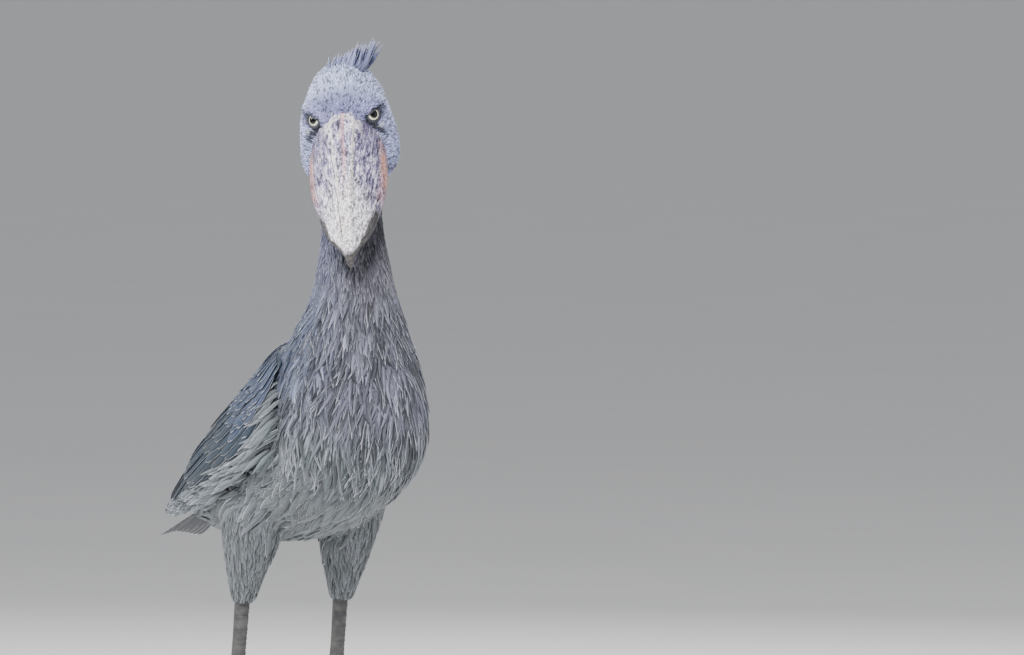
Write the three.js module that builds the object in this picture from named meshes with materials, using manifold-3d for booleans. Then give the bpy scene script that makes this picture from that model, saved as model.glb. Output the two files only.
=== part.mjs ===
// A life-size standing shoebill, a tall grey marsh bird with a huge shoe-shaped bill.
// It stands on both feet, its bill lowered towards its breast and its head turned to its right.
// Millimetres, +Z up. The body faces -Y and the bird's left side is +X.
import * as THREE from "three";
import { mergeVertices } from "three/addons/utils/BufferGeometryUtils.js";
import Module from "manifold-3d";

const wasm = await Module();
wasm.setup();

const GAP = 0.35; // between neighbouring pieces
const EYES_MID = [6.4, -118, 1022]; // midway between the eyes
const HEAD_TURN = -38.3; // degrees, towards the bird's right
const HEAD_PITCH = 45; // degrees that the skull points below level
const HEAD_ROLL = -5.8; // degrees, the left eye higher
const EYE = { side: 34, forward: 0, up: 2.5, radius: 12.5, aim: [0.45, 0.6, 0.66] };
const SPLIT_ROW = 5.4; // the row of BODY where the neck ends and the torso begins

// The head, from the back of the skull to the face: how far forward of the eyes each section is, its top,
// its bottom, its half width, the height of its widest point, and how square its upper half is.
const HEAD = [
  [-86, 8, -14, 12, -3, 2],
  [-79, 24, -34, 30, -7, 2],
  [-65, 40, -62, 45, -16, 2.1],
  [-45, 49, -92, 55, -33, 2.2],
  [-25, 50, -116, 61, -45, 2.4],
  [-10, 46, -129, 65.5, -54, 2.4],
  [3, 38, -130, 66, -56, 2.1],
  [14, 27, -120, 60, -57, 1.65],
  [24, 19, -101, 45, -54, 1.4],
  [31, 5, -74, 24, -45, 1.4],
];
const SAG = 0.1; // how far the loose cheeks hang straight down on the tilted head
// Each brow runs from the bill over the eye: sideways, forward, up and thickness.
const BROW = [
  [18, 18.5, 8, 3],
  [26, 10.5, 15, 5],
  [35, 1.5, 21, 7],
  [44, -7, 20.5, 7.5],
  [51, -15, 13.5, 6],
  [55, -24, 5, 3],
];

// The bill: the ridge on top as forward and up, the line of the mouth as forward and up, the underside of
// the lower jaw as forward and up, the half width, and the half width of the ridge.
const BILL = [
  [2, 24, 2, -34, 2, -71, 42, 18],
  [20, 25.5, 20, -38, 20, -74, 47.5, 17],
  [50, 18, 50, -43, 50, -78, 51, 14.5],
  [80, 8, 80, -47, 80, -79, 50, 12],
  [108, -1, 105, -50, 105, -78, 46, 9.5],
  [134, -9, 129, -51.5, 128, -75, 39.5, 7.8],
  [156, -17, 148, -52, 146, -70, 33.5, 6.6],
  [173, -25.5, 162, -52, 160, -63, 28, 6],
  [186, -34, 173, -52, 169, -57, 21.5, 6.5],
  [195, -43, 180, -53.5, 174, -56, 14.5, 5.5],
  [201, -53, 187, -59, 0, 0, 7.5, 4.2],
  [204, -62, 194, -65, 0, 0, 4, 3],
];
const BILL_TIP = [201.5, -71];
const LOWER_ROWS = 8; // the lower jaw ends at this row of BILL
const LOWER_WIDTH = 0.93; // of the upper jaw's width
// Half a section of the upper jaw: how far out, as a share of the half width plus a share of the ridge's
// half width plus millimetres, and how high, as a share of the depth.
const UPPER_SECTION = [
  [0, 0.7, 0, 1],
  [0, 1, 0, 0.97],
  [0, 1, 2.5, 0.9],
  [0.5, 0, 0, 0.72],
  [0.77, 0, 0, 0.5],
  [0.94, 0, 0, 0.3],
  [1, 0, 0, 0.14],
  [0.97, 0, 0, 0],
  [0.5, 0, 0, 0],
];
const LOWER_SECTION = [
  [0.5, 0, 0, 1],
  [0.97, 0, 0, 1],
  [1, 0, 0, 0.9],
  [0.93, 0, 0, 0.5],
  [0.74, 0, 0, 0.2],
  [0.42, 0, 0, 0.03],
];

// Neck and torso, from inside the head to the root of the tail: sideways shift, the back line as y and z,
// the front or belly line as y and z, and the half width.
const BODY = [
  [45, -22, 1040, -105, 1020, 44],
  [36, -40, 965, -125, 950, 42],
  [26, -62, 895, -150, 880, 40],
  [15, -75, 840, -182, 822, 48.5],
  [8, -78, 800, -208, 765, 62],
  [3, -68, 764, -230, 700, 83],
  [0, -42, 724, -244, 640, 104],
  [0, -4, 690, -232, 562, 114],
  [0, 50, 649, -150, 500, 115],
  [0, 108, 607, -40, 466, 106],
  [0, 163, 566, 65, 460, 85],
  [0, 206, 536, 145, 468, 56],
  [0, 234, 516, 198, 476, 32],
];

// The folded wings lie on these sections, from the shoulder to past the tail.
const WING = [
  [0, -52, 736, -244, 640, 101],
  [0, -5, 699, -234, 560, 117],
  [0, 53, 659, -150, 498, 121],
  [0, 114, 614, -38, 464, 113],
  [0, 171, 571, 72, 450, 92],
  [0, 219, 537, 150, 446, 70],
  [0, 260, 509, 214, 446, 50],
  [0, 291, 488, 262, 448, 36],
];
// The wing's upper and lower edge on each section, in degrees from the middle of the back.
const WING_EDGES = [
  [18, 72],
  [12, 88],
  [10, 90],
  [10, 88],
  [13, 82],
  [18, 74],
];
// The tiers of wing feathers, from the shoulder backwards: lesser, median and greater coverts, secondaries
// and primaries. For each, how many, the rows where the first and the last one start and end, the angles
// between which their roots and their tips lie, and their width and lift.
const TIERS = [
  { count: 7, start: [0.25, 0.35], end: [1.35, 1.5], root: [24, 70], tip: [20, 80], width: 23, lift: 6 },
  { count: 7, start: [1, 0.95], end: [2.5, 2.35], root: [17, 78], tip: [16, 84], width: 27, lift: 6 },
  { count: 7, start: [2, 1.75], end: [3.9, 3.4], root: [15, 82], tip: [15, 84], width: 29, lift: 5.5 },
  { count: 8, start: [3, 2.7], end: [6.1, 4.5], root: [17, 82], tip: [18, 84], width: 30, lift: 4.5 },
  { count: 5, start: [4.2, 4], end: [6.9, 6.1], root: [34, 68], tip: [30, 62], width: 21, lift: 1.5 },
];
const TAIL = { count: 11, spread: 30, length: 82, width: 13 };
const CREST = { count: 18, length: 41, width: 11, lean: 0.5 };
// Rows of loose plumes on the lower neck and the breast: the row where their roots lie, how many, how far
// round from the middle of the breast the outer ones are in degrees, and their length.
const PLUMES = {
  neck: [[3.35, 4, 60, 62], [3.95, 5, 66, 66]],
  torso: [[5.45, 7, 68, 70], [5.9, 8, 72, 74]],
};

// Legs on the left side: x, y, z, half width and half depth. The right leg is the mirror image, a step back.
const THIGH = [
  [60, -14, 575, 42, 60],
  [63, -4, 520, 46, 62],
  [65, 6, 470, 38, 48],
  [67, 16, 425, 27, 31],
  [67.5, 23, 388, 17, 18],
];
const SHANK = [
  [67.5, 24, 387.6, 10.5, 11],
  [68, 33, 330, 9, 10],
  [68, 39, 288, 10.5, 12.5],
  [68.3, 42, 262, 14, 17],
  [68.6, 40, 238, 11.5, 13],
  [69.5, 31, 150, 8.5, 9.5],
  [70.5, 20, 60, 9, 10],
  [71, 16, 32, 12, 13.5],
  [71, 14, 16, 14, 15.5],
  [71, 14, 4, 10, 11],
];
const STEP = { left: -34, right: -8 }; // how far each leg stands behind the body's own origin
const TOES = {
  middle: { length: 166, angle: 6, radius: 8 },
  inner: { length: 124, angle: -28, radius: 7 },
  outer: { length: 140, angle: 38, radius: 7 },
  hind: { length: 76, angle: 172, radius: 7 },
};
const CLAW_LENGTH = 23;

const COLOURS = {
  head: [0x9fa6bd, 0.9],
  bill: [0xa9a3b4, 0.55],
  eye: [0xd8d8c4, 0.1],
  neck: [0x8e8f9c, 0.9],
  torso: [0x85868f, 0.9],
  wing: [0x5b626f, 0.85],
  tail: [0x4c515c, 0.85],
  thigh: [0x9fa1a6, 0.9],
  leg: [0x3f3f44, 0.7],
  claw: [0x242220, 0.45],
};

const rad = THREE.MathUtils.degToRad;
const vec = (...p) => new THREE.Vector3(...p);

// A smooth value between the rows of a table, at a place counted in rows.
function along(table, place) {
  const last = table.length - 1;
  const i = Math.min(Math.max(Math.floor(place), 0), last - 1);
  const t = place - i;
  const row = (k) => table[Math.min(Math.max(k, 0), last)];
  return table[i].map((b, c) => {
    const [a, d, e] = [row(i - 1)[c], row(i + 1)[c], row(i + 2)[c]];
    return b + 0.5 * t * (d - a + t * (2 * a - 5 * b + 4 * d - e + t * (3 * (b - d) + e - a)));
  });
}

// Places from first to last, so many of them.
function places(first, last, count) {
  return Array.from({ length: count }, (_, i) => first + ((last - first) * i) / (count - 1));
}

// A closed skin over rings of equal count, with a point at each end, its faces turned outwards.
function skin(rings, start, end) {
  const n = rings[0].length;
  const points = [start, ...rings.flat(), end];
  const faces = [];
  const last = points.length - 1;
  for (let j = 0; j < n; j++) {
    const k = (j + 1) % n;
    faces.push([0, 1 + j, 1 + k], [last, last - n + k, last - n + j]);
    for (let r = 0; r + 1 < rings.length; r++) {
      const [a, b] = [1 + r * n + j, 1 + r * n + k];
      faces.push([a, a + n, b + n], [a, b + n, b]);
    }
  }
  return closed(points, faces);
}

// A closed body, its faces turned so that its volume is positive.
function closed(points, faces) {
  const wedge = ([a, b, c]) => points[a].dot(vec().crossVectors(points[b], points[c]));
  const volume = faces.reduce((sum, face) => sum + wedge(face), 0);
  const turned = volume < 0 ? faces.map(([a, b, c]) => [a, c, b]) : faces;
  const geometry = new THREE.BufferGeometry().setFromPoints(points);
  geometry.setIndex(turned.flat());
  return geometry;
}

function solidOf(geometry) {
  const merged = mergeVertices(geometry.clone().deleteAttribute("normal").deleteAttribute("uv"), 1e-3);
  return new wasm.Manifold(
    new wasm.Mesh({
      numProp: 3,
      vertProperties: merged.attributes.position.array,
      triVerts: new Uint32Array(merged.index.array),
    }),
  );
}

// The largest closed surface of a solid, as a geometry.
function geometryOf(solid) {
  const piece = solid.decompose().reduce((a, b) => (a.volume() > b.volume() ? a : b));
  const mesh = piece.getMesh();
  const geometry = new THREE.BufferGeometry();
  geometry.setAttribute("position", new THREE.BufferAttribute(new Float32Array(mesh.vertProperties), 3));
  geometry.setIndex(new THREE.BufferAttribute(new Uint32Array(mesh.triVerts), 1));
  return geometry;
}

const middleOf = (ring) => ring.reduce((sum, p) => sum.add(p), vec()).divideScalar(ring.length);

// The head, in its own frame: x to its left, -y forward along the skull, z up.
function headSolid(grow) {
  const count = 30;
  const rings = places(0, HEAD.length - 1, 19).map((place) => {
    const [forward, top, bottom, width, widest, square] = along(HEAD, place);
    return Array.from({ length: count }, (_, i) => {
      const angle = (2 * Math.PI * i) / count;
      const [s, c] = [Math.sin(angle), Math.cos(angle)];
      const power = 2 / (c > 0 ? square : 2.4);
      const out = (width + grow) * Math.sign(s) * Math.abs(s) ** power;
      const reach = c > 0 ? top - widest + grow : bottom - widest - grow;
      const height = reach * Math.abs(c) ** power;
      const up = widest + height;
      return vec(out + SAG * Math.min(0, up + 45), -forward, up);
    });
  });
  return solidOf(skin(rings, vec(0, 90 + grow, 0), vec(0, -33 - grow, -28)));
}

// A section of the bill between two points of its middle plane, from the half section's points.
function billRing(section, high, low, width, ridge, grow) {
  const half = section.map(([share, ridges, extra, up]) => {
    const out = share * (width + grow) + ridges * ridge + extra * Math.min(1, width / 30);
    const stretch = up + ((up - 0.5) * 2 * grow) / high.distanceTo(low);
    return vec(Math.min(out, width + grow), 0, 0).add(low.clone().lerp(high, stretch));
  });
  const mirrored = half.map((p) => vec(-p.x, p.y, p.z)).reverse();
  return [...half, ...mirrored];
}

function upperSolid(grow) {
  const rings = places(0, BILL.length - 1, 20).map((place) => {
    const [ft, ut, fm, um, , , width, ridge] = along(BILL, place);
    return billRing(UPPER_SECTION, vec(0, -ft, ut), vec(0, -fm, um), width, ridge, grow);
  });
  return solidOf(skin(rings, middleOf(rings[0]), vec(0, -BILL_TIP[0], BILL_TIP[1])));
}

function lowerSolid(grow) {
  const mouth = 0.8; // the open line between the jaws
  const rings = places(0, LOWER_ROWS, 12).map((place) => {
    const [, , fm, um, fl, ul, width] = along(BILL, place);
    const high = vec(0, -fm, um - mouth);
    return billRing(LOWER_SECTION, high, vec(0, -fl, ul), width * LOWER_WIDTH, 0, grow);
  });
  return solidOf(skin(rings, middleOf(rings[0]), middleOf(rings[rings.length - 1])));
}

const eyeMiddle = (side) => vec(side * EYE.side, -EYE.forward, EYE.up);

function ball(radius, side) {
  return solidOf(new THREE.SphereGeometry(radius, 14, 9).translate(...eyeMiddle(side)));
}

// The opening between the lids, a cone that widens outwards along the line of sight.
function lidOpening(side) {
  const [out, forward, up] = EYE.aim;
  const sight = vec(side * out, -forward, up).normalize();
  const cone = new THREE.CylinderGeometry(11, 7.2, 18, 14).translate(0, 9, 0);
  cone.applyQuaternion(new THREE.Quaternion().setFromUnitVectors(vec(0, 1, 0), sight));
  return solidOf(cone.translate(...eyeMiddle(side)));
}

function browSolid(side) {
  const rings = places(0, BROW.length - 1, 7).map((place) => {
    const [x, forward, up, radius] = along(BROW, place);
    return Array.from({ length: 8 }, (_, i) => {
      const angle = (2 * Math.PI * i) / 8;
      return vec(side * x, -forward + radius * Math.cos(angle), up + radius * Math.sin(angle));
    });
  });
  return solidOf(skin(rings, middleOf(rings[0]), middleOf(rings[rings.length - 1])));
}

// A narrow nostril in the groove beside the ridge of the bill.
function nostril(side) {
  const slit = new THREE.SphereGeometry(1, 10, 6).scale(1.4, 6, 3).rotateX(rad(12)).rotateZ(rad(-4 * side));
  return solidOf(slit.translate(side * 16, -42, 17));
}

// A ring of the neck, torso or wing sections at a place along their table.
function sectionPoint(table, place, degrees, grow) {
  const [x, yBack, zBack, yBelly, zBelly, width] = along(table, place);
  const back = vec(x, yBack, zBack);
  const belly = vec(x, yBelly, zBelly);
  const middle = back.clone().lerp(belly, 0.5);
  const up = back.clone().sub(middle);
  up.setLength(up.length() + grow);
  const angle = rad(degrees);
  return middle.addScaledVector(up, Math.cos(angle)).add(vec((width + grow) * Math.sin(angle), 0, 0));
}

function bodySolid(first, last, count, grow) {
  const sides = 26;
  const rings = places(first, last, count).map((place) =>
    Array.from({ length: sides }, (_, i) => sectionPoint(BODY, place, (360 * i) / sides, grow)),
  );
  return solidOf(skin(rings, middleOf(rings[0]), middleOf(rings[rings.length - 1])));
}

// A feather's vane: a flat, pointed body through stations of a middle point, a vector to its edge and a
// vector out of its face. Both faces are split into triangles alike.
function vane(stations, tip) {
  const points = stations.flatMap(({ middle, edge, out }) => [
    middle.clone().sub(edge),
    middle.clone().add(out),
    middle.clone().add(edge),
    middle.clone().sub(out),
  ]);
  const faces = [[0, 1, 3], [1, 2, 3]];
  const last = points.push(tip) - 1;
  for (let i = 0; i < last; i += 4) {
    const [left, top, right, under] = [i, i + 1, i + 2, i + 3];
    const ends = i + 4 === last;
    const [left2, top2, right2, under2] = ends ? [last, last, last, last] : [i + 4, i + 5, i + 6, i + 7];
    faces.push([left, top2, top], [right, top, top2], [right, under2, under], [left, under, under2]);
    if (!ends) {
      faces.push([left, left2, top2], [right, top2, right2]);
      faces.push([right, right2, under2], [left, under2, left2]);
    }
  }
  return solidOf(closed(points, faces));
}

// A vane that follows a surface. pathAt gives the point and the surface's normal at a share of its length,
// profile lists the stations as a share of the length and of the width.
function feather(pathAt, profile, width, thickness, roll) {
  const step = 0.01;
  const stations = profile.map(([share, wide]) => {
    const [middle, out] = pathAt(share);
    const forward = pathAt(share + step)[0].sub(pathAt(share - step)[0]).normalize();
    const across = vec().crossVectors(forward, out).normalize().applyAxisAngle(forward, rad(roll));
    const face = vec().crossVectors(across, forward).normalize();
    const thick = thickness * (0.45 + 0.55 * wide) * (1 - 0.5 * share);
    return { middle, edge: across.multiplyScalar((width / 2) * wide), out: face.multiplyScalar(thick / 2) };
  });
  return vane(stations, pathAt(1)[0]);
}

const ROUNDED = [[0, 0.6], [0.4, 0.95], [0.75, 1], [0.94, 0.6]];
const POINTED = [[0, 0.6], [0.4, 1], [0.75, 0.7]];

// The way out of a surface given by place and degrees, on the side named.
function outwards(surface, place, degrees, side) {
  const onwards = surface(place + 0.02, degrees).sub(surface(place - 0.02, degrees));
  const round = surface(place, degrees + 1).sub(surface(place, degrees - 1));
  const out = vec().crossVectors(onwards, round).normalize();
  return out.multiplyScalar(Math.sign(out.dot(side)) || 1);
}

// A point at a height over the guide surface of a folded wing, and the way out of the surface there.
function wingPoint(side, place, degrees, height) {
  const guide = (at, turn) => sectionPoint(WING, at, side * turn, 0);
  const out = outwards(guide, place, degrees, vec(side, 0, 0.6));
  return [guide(place, degrees).addScaledVector(out, height), out];
}

// The core of a wing, under its feathers: a slab from the shoulder to where only feathers go on.
function wingCore(side) {
  const across = 8;
  const last = WING_EDGES.length - 1;
  const rings = places(0.12, last - 0.1, 10).map((place) => {
    const [top, bottom] = along(WING_EDGES, place);
    const depth = place > 3.6 ? 2.2 : 13;
    const line = (from, to, height) =>
      places(from, to, across).map((degrees) => wingPoint(side, place, degrees, height)[0]);
    return [...line(top + 3, bottom - 3, 0.4), ...line(bottom - 3, top + 3, -depth)];
  });
  return solidOf(skin(rings, middleOf(rings[0]), middleOf(rings[rings.length - 1])));
}

const between = ([a, b], share) => a + (b - a) * share;

function wingFeathers(side) {
  return TIERS.flatMap((tier) =>
    places(0, 1, tier.count).map((share) => {
      const rows = [between(tier.start, share), between(tier.end, share)];
      const turns = [between(tier.root, share), between(tier.tip, share)];
      const pathAt = (t) => {
        const lift = -1.6 + (tier.lift + 1.6) * Math.max(t, 0) ** 0.8;
        return wingPoint(side, between(rows, t), between(turns, t), lift);
      };
      return feather(pathAt, ROUNDED, tier.width, 2, side * 8);
    }),
  );
}

// A limb through sections of x, y, z, half width and half depth, for the side given.
function limbSolid(table, side, back, count, sides, grow) {
  const rings = places(0, table.length - 1, count).map((place) => {
    const [x, y, z, width, depth] = along(table, place);
    return Array.from({ length: sides }, (_, i) => {
      const angle = (2 * Math.PI * i) / sides;
      return vec(side * x + (width + grow) * Math.sin(angle), y + back + (depth + grow) * Math.cos(angle), z);
    });
  });
  return solidOf(skin(rings, middleOf(rings[0]), middleOf(rings[rings.length - 1])));
}

// A point of a toe's middle line, from its root to past its end.
function toePoint(side, back, toe, distance, height) {
  const [x, y] = SHANK[SHANK.length - 1];
  const angle = rad(toe.angle * side);
  return vec(side * x + Math.sin(angle) * distance, y + back - Math.cos(angle) * distance, height);
}

function toeSolid(side, back, toe, grow) {
  const sides = 8;
  const rings = places(0, 1, 9).map((share, i) => {
    const swell = i % 2 ? 0.86 : 1; // thicker at each joint
    const radius = toe.radius * (1 - 0.35 * share) * (i === 8 ? 0.75 : swell) + grow;
    const middle = toePoint(side, back, toe, 6 + (toe.length - 6) * share, radius * 0.86);
    const angle = rad(toe.angle * side);
    return Array.from({ length: sides }, (_, k) => {
      const turn = (2 * Math.PI * (k + 0.5)) / sides;
      const out = radius * Math.sin(turn);
      const height = Math.max(0, middle.z + radius * Math.cos(turn));
      return vec(middle.x + Math.cos(angle) * out, middle.y + Math.sin(angle) * out, height);
    });
  });
  return solidOf(skin(rings, middleOf(rings[0]), middleOf(rings[rings.length - 1])));
}

function clawSolid(side, back, toe) {
  const sides = 6;
  const angle = rad(toe.angle * side);
  const rings = [0, 0.35, 0.7].map((share) => {
    const radius = toe.radius * 0.42 * (1 - 0.62 * share);
    const height = 4.4 - 2.4 * share * share + radius * 0.2;
    const middle = toePoint(side, back, toe, toe.length + GAP + CLAW_LENGTH * share, height);
    return Array.from({ length: sides }, (_, k) => {
      const turn = (2 * Math.PI * k) / sides;
      const across = vec(Math.cos(angle), Math.sin(angle), 0).multiplyScalar(radius * Math.sin(turn));
      return middle.clone().add(across).add(vec(0, 0, radius * Math.cos(turn)));
    });
  });
  const tip = toePoint(side, back, toe, toe.length + GAP + CLAW_LENGTH, 0.9);
  return solidOf(skin(rings, middleOf(rings[0]), tip));
}

// The tail: a root under the rump and its quills, fanned and overlapping with the middle one on top.
function tailSolid() {
  const root = new THREE.SphereGeometry(1, 14, 8).scale(24, 26, 8).rotateX(rad(-26));
  const pad = solidOf(root.translate(0, 226, 490));
  const quills = places(-1, 1, TAIL.count).map((share) => {
    const pathAt = (t) => {
      const x = share * (14 + (TAIL.spread - 14) * t);
      const drop = 5 * Math.abs(share);
      const length = TAIL.length * (1 - 0.08 * share ** 2);
      return [vec(x, 218 + length * t, 496 - 38 * t - drop), vec(0.25 * share, 0.42, 0.9).normalize()];
    };
    return feather(pathAt, ROUNDED, TAIL.width, 1.6, -9 * Math.sign(share));
  });
  return wasm.Manifold.union([pad, ...quills]);
}

// The crest: narrow plumes on the back of the crown, raised and leaning to the bird's left.
function crestPlumes() {
  return places(0, 1, CREST.count).map((share, i) => {
    const row = i % 3;
    const root = vec(-19 + 48 * share, 54 + 9 * row, 34 - 9 * row);
    const length = CREST.length * (0.5 + 0.62 * share) * (1 - 0.12 * row);
    const lean = CREST.lean * (0.45 + share * 0.75);
    const heading = vec(lean, 0.75 + 0.15 * row, 0.42 + 0.1 * (i % 2)).normalize();
    const pathAt = (t) => {
      const bend = 0.14 * length * t * t;
      const point = root.clone().addScaledVector(heading, length * t - 5).add(vec(0, bend, -0.4 * bend));
      return [point, vec(0, -0.5, 0.86)];
    };
    return feather(pathAt, POINTED, CREST.width, 1.8, 25 - 12 * row);
  });
}

// Loose pointed plumes, each sunk in the surface at its root and lifted at its tip.
function plumes(rows) {
  return rows.flatMap(([row, count, reach, length], k) =>
    places(-1, 1, count).map((share, i) => {
      const degrees = 180 + reach * share;
      const from = row + 0.12 * ((i + k) % 2);
      const guide = (at, turn) => sectionPoint(BODY, at, turn, 0);
      const whole = guide(from + 1, degrees).distanceTo(guide(from, degrees));
      const pathAt = (t) => {
        const place = from + (t * length) / whole;
        const out = outwards(guide, place, degrees, guide(place, degrees).sub(vec(0, 0, 640)));
        return [guide(place, degrees).addScaledVector(out, -2 + 7.5 * Math.max(t, 0) ** 0.9), out];
      };
      return feather(pathAt, POINTED, 25, 2.4, 10 * (share < 0 ? -1 : 1));
    }),
  );
}

function piece(name, finish, geometry) {
  const [color, roughness] = COLOURS[finish];
  const material = new THREE.MeshStandardMaterial({ color, roughness, metalness: 0, flatShading: true });
  const mesh = new THREE.Mesh(geometry, material);
  mesh.name = name;
  return mesh;
}

// Putting the bird together. Each piece is cut clear of its neighbours by their own shapes, grown by the gap.
const bird = new THREE.Group();

const headGroup = new THREE.Group();
headGroup.position.set(...EYES_MID);
headGroup.rotation.set(rad(HEAD_PITCH), rad(HEAD_ROLL), rad(HEAD_TURN), "ZYX");
headGroup.updateMatrix();
const billSpace = upperSolid(GAP).add(lowerSolid(GAP));
const sockets = ball(EYE.radius + GAP, 1).add(ball(EYE.radius + GAP, -1));
const lids = ball(EYE.radius + 2, 1).add(ball(EYE.radius + 2, -1));
const brows = browSolid(1).add(browSolid(-1));
const openings = lidOpening(1).add(lidOpening(-1));
const face = headSolid(0).add(lids).subtract(openings).add(brows);
const headShape = wasm.Manifold.union([face, ...crestPlumes()]);
headGroup.add(piece("head", "head", geometryOf(headShape.subtract(sockets))));
const jawCut = headSolid(GAP).add(ball(EYE.radius + 2.4, 1)).add(ball(EYE.radius + 2.4, -1)).add(brows);
const nostrils = nostril(1).add(nostril(-1));
headGroup.add(piece("bill_upper", "bill", geometryOf(upperSolid(0).subtract(jawCut).subtract(nostrils))));
headGroup.add(piece("bill_lower", "bill", geometryOf(lowerSolid(0).subtract(jawCut))));
headGroup.add(piece("eye_left", "eye", geometryOf(ball(EYE.radius, 1))));
headGroup.add(piece("eye_right", "eye", geometryOf(ball(EYE.radius, -1))));
bird.add(headGroup);

const headSpace = headSolid(GAP).add(billSpace).transform(headGroup.matrix.toArray());
const neckLoft = (grow) => bodySolid(0, SPLIT_ROW - 0.003, 12, grow);
const torsoLoft = (grow) => bodySolid(SPLIT_ROW + 0.003, BODY.length - 1, 17, grow);
const neckShape = neckLoft(0).subtract(headSpace);
bird.add(piece("neck", "neck", geometryOf(wasm.Manifold.union([neckShape, ...plumes(PLUMES.neck)]))));
const torsoShape = wasm.Manifold.union([torsoLoft(0), ...plumes(PLUMES.torso)]);
bird.add(piece("torso", "torso", geometryOf(torsoShape)));
const torsoSpace = torsoLoft(GAP).add(neckLoft(GAP)).add(bodySolid(SPLIT_ROW - 0.2, SPLIT_ROW + 0.2, 2, 0));
bird.add(piece("tail", "tail", geometryOf(tailSolid().subtract(torsoSpace))));

for (const [name, side] of [["left", 1], ["right", -1]]) {
  const back = STEP[name];
  const wing = wasm.Manifold.union([wingCore(side), ...wingFeathers(side)]);
  bird.add(piece(`wing_${name}`, "wing", geometryOf(wing.subtract(torsoSpace))));
  const thigh = limbSolid(THIGH, side, back, 7, 16, 0);
  bird.add(piece(`thigh_${name}`, "thigh", geometryOf(thigh.subtract(torsoSpace))));
  const shank = (grow) => limbSolid(SHANK, side, back, 17, 10, grow);
  bird.add(piece(`shank_${name}`, "leg", geometryOf(shank(0))));
  let taken = shank(GAP);
  for (const [digit, toe] of Object.entries(TOES)) {
    const toeShape = toeSolid(side, back, toe, 0).subtract(taken);
    taken = taken.add(toeSolid(side, back, toe, GAP));
    bird.add(piece(`toe_${name}_${digit}`, "leg", geometryOf(toeShape)));
    bird.add(piece(`claw_${name}_${digit}`, "claw", geometryOf(clawSolid(side, back, toe))));
  }
}

// The frame's origin is on the floor, below the middle of the bird.
const box = new THREE.Box3().setFromObject(bird, true);
const middle = box.getCenter(vec());
bird.position.set(-middle.x, -middle.y, -box.min.z);

export default bird;
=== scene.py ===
"""The looks of a life-size standing shoebill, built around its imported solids. Metres in Blender, tables in mm."""

import functools
import math

import bpy
import numpy as np
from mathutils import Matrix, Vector, noise
from mathutils.bvhtree import BVHTree
from mathutils.kdtree import KDTree

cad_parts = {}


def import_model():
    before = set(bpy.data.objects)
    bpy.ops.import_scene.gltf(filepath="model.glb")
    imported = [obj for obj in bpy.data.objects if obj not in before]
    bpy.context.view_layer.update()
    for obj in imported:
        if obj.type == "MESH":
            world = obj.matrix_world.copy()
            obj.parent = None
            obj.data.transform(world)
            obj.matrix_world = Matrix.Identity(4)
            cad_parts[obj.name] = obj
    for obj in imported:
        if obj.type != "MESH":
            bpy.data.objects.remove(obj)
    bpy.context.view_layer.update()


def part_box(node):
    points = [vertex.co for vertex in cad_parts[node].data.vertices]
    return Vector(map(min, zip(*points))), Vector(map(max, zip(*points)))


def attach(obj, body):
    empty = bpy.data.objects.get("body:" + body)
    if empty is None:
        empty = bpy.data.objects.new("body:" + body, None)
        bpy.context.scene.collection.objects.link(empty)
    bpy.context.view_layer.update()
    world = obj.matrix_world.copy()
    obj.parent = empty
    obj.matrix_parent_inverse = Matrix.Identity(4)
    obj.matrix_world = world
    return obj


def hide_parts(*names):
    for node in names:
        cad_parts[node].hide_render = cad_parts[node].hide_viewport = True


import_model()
rng = np.random.default_rng(11)

# The bird's own sizes, in millimetres

EYES_MID = np.array([6.4, -118.0, 1022.0])  # midway between the eyes
HEAD_TURN, HEAD_PITCH, HEAD_ROLL = -38.3, 45.0, -5.8  # degrees
EYE_SIDE, EYE_FORWARD, EYE_UP, EYE_RADIUS = 34.0, 0.0, 2.5, 12.5
EYE_AIM = np.array([0.52, 0.52, 0.67])  # sideways, forward, up
PUPIL, IRIS = 4.9, 8.1  # radii, seen along the line of sight
HEAD_DEPTH = -2.4  # of the head's skin under its solid; the velvet over it is short
BROW_CUT, BROW_SLANT = 2.5, 56.0  # the upper lid's straight edge: mm from the pupil, degrees up from the bill
CHEEK_SAG = 0.1  # the loose cheeks hang straight down on the tilted head

# Head sections: forward of the eyes, top, bottom, half width, height of the widest point, squareness.
HEAD = [
    [-86, 8, -14, 12, -3, 2],
    [-79, 24, -34, 30, -7, 2],
    [-65, 40, -62, 45, -16, 2.1],
    [-45, 49, -92, 55, -33, 2.2],
    [-25, 50, -116, 61, -45, 2.4],
    [-10, 46, -129, 65.5, -54, 2.4],
    [3, 38, -130, 66, -56, 2.1],
    [14, 27, -120, 60, -57, 1.65],
    [24, 19, -101, 45, -54, 1.4],
    [31, 5, -74, 24, -45, 1.4],
]
# Brow, from the bill outwards: sideways, forward, up, thickness.
BROW = [
    [18, 18.5, 8, 3], [26, 10.5, 15, 5], [35, 1.5, 21, 7],
    [44, -7, 20.5, 7.5], [51, -15, 13.5, 6], [55, -24, 5, 3],
]
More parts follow.
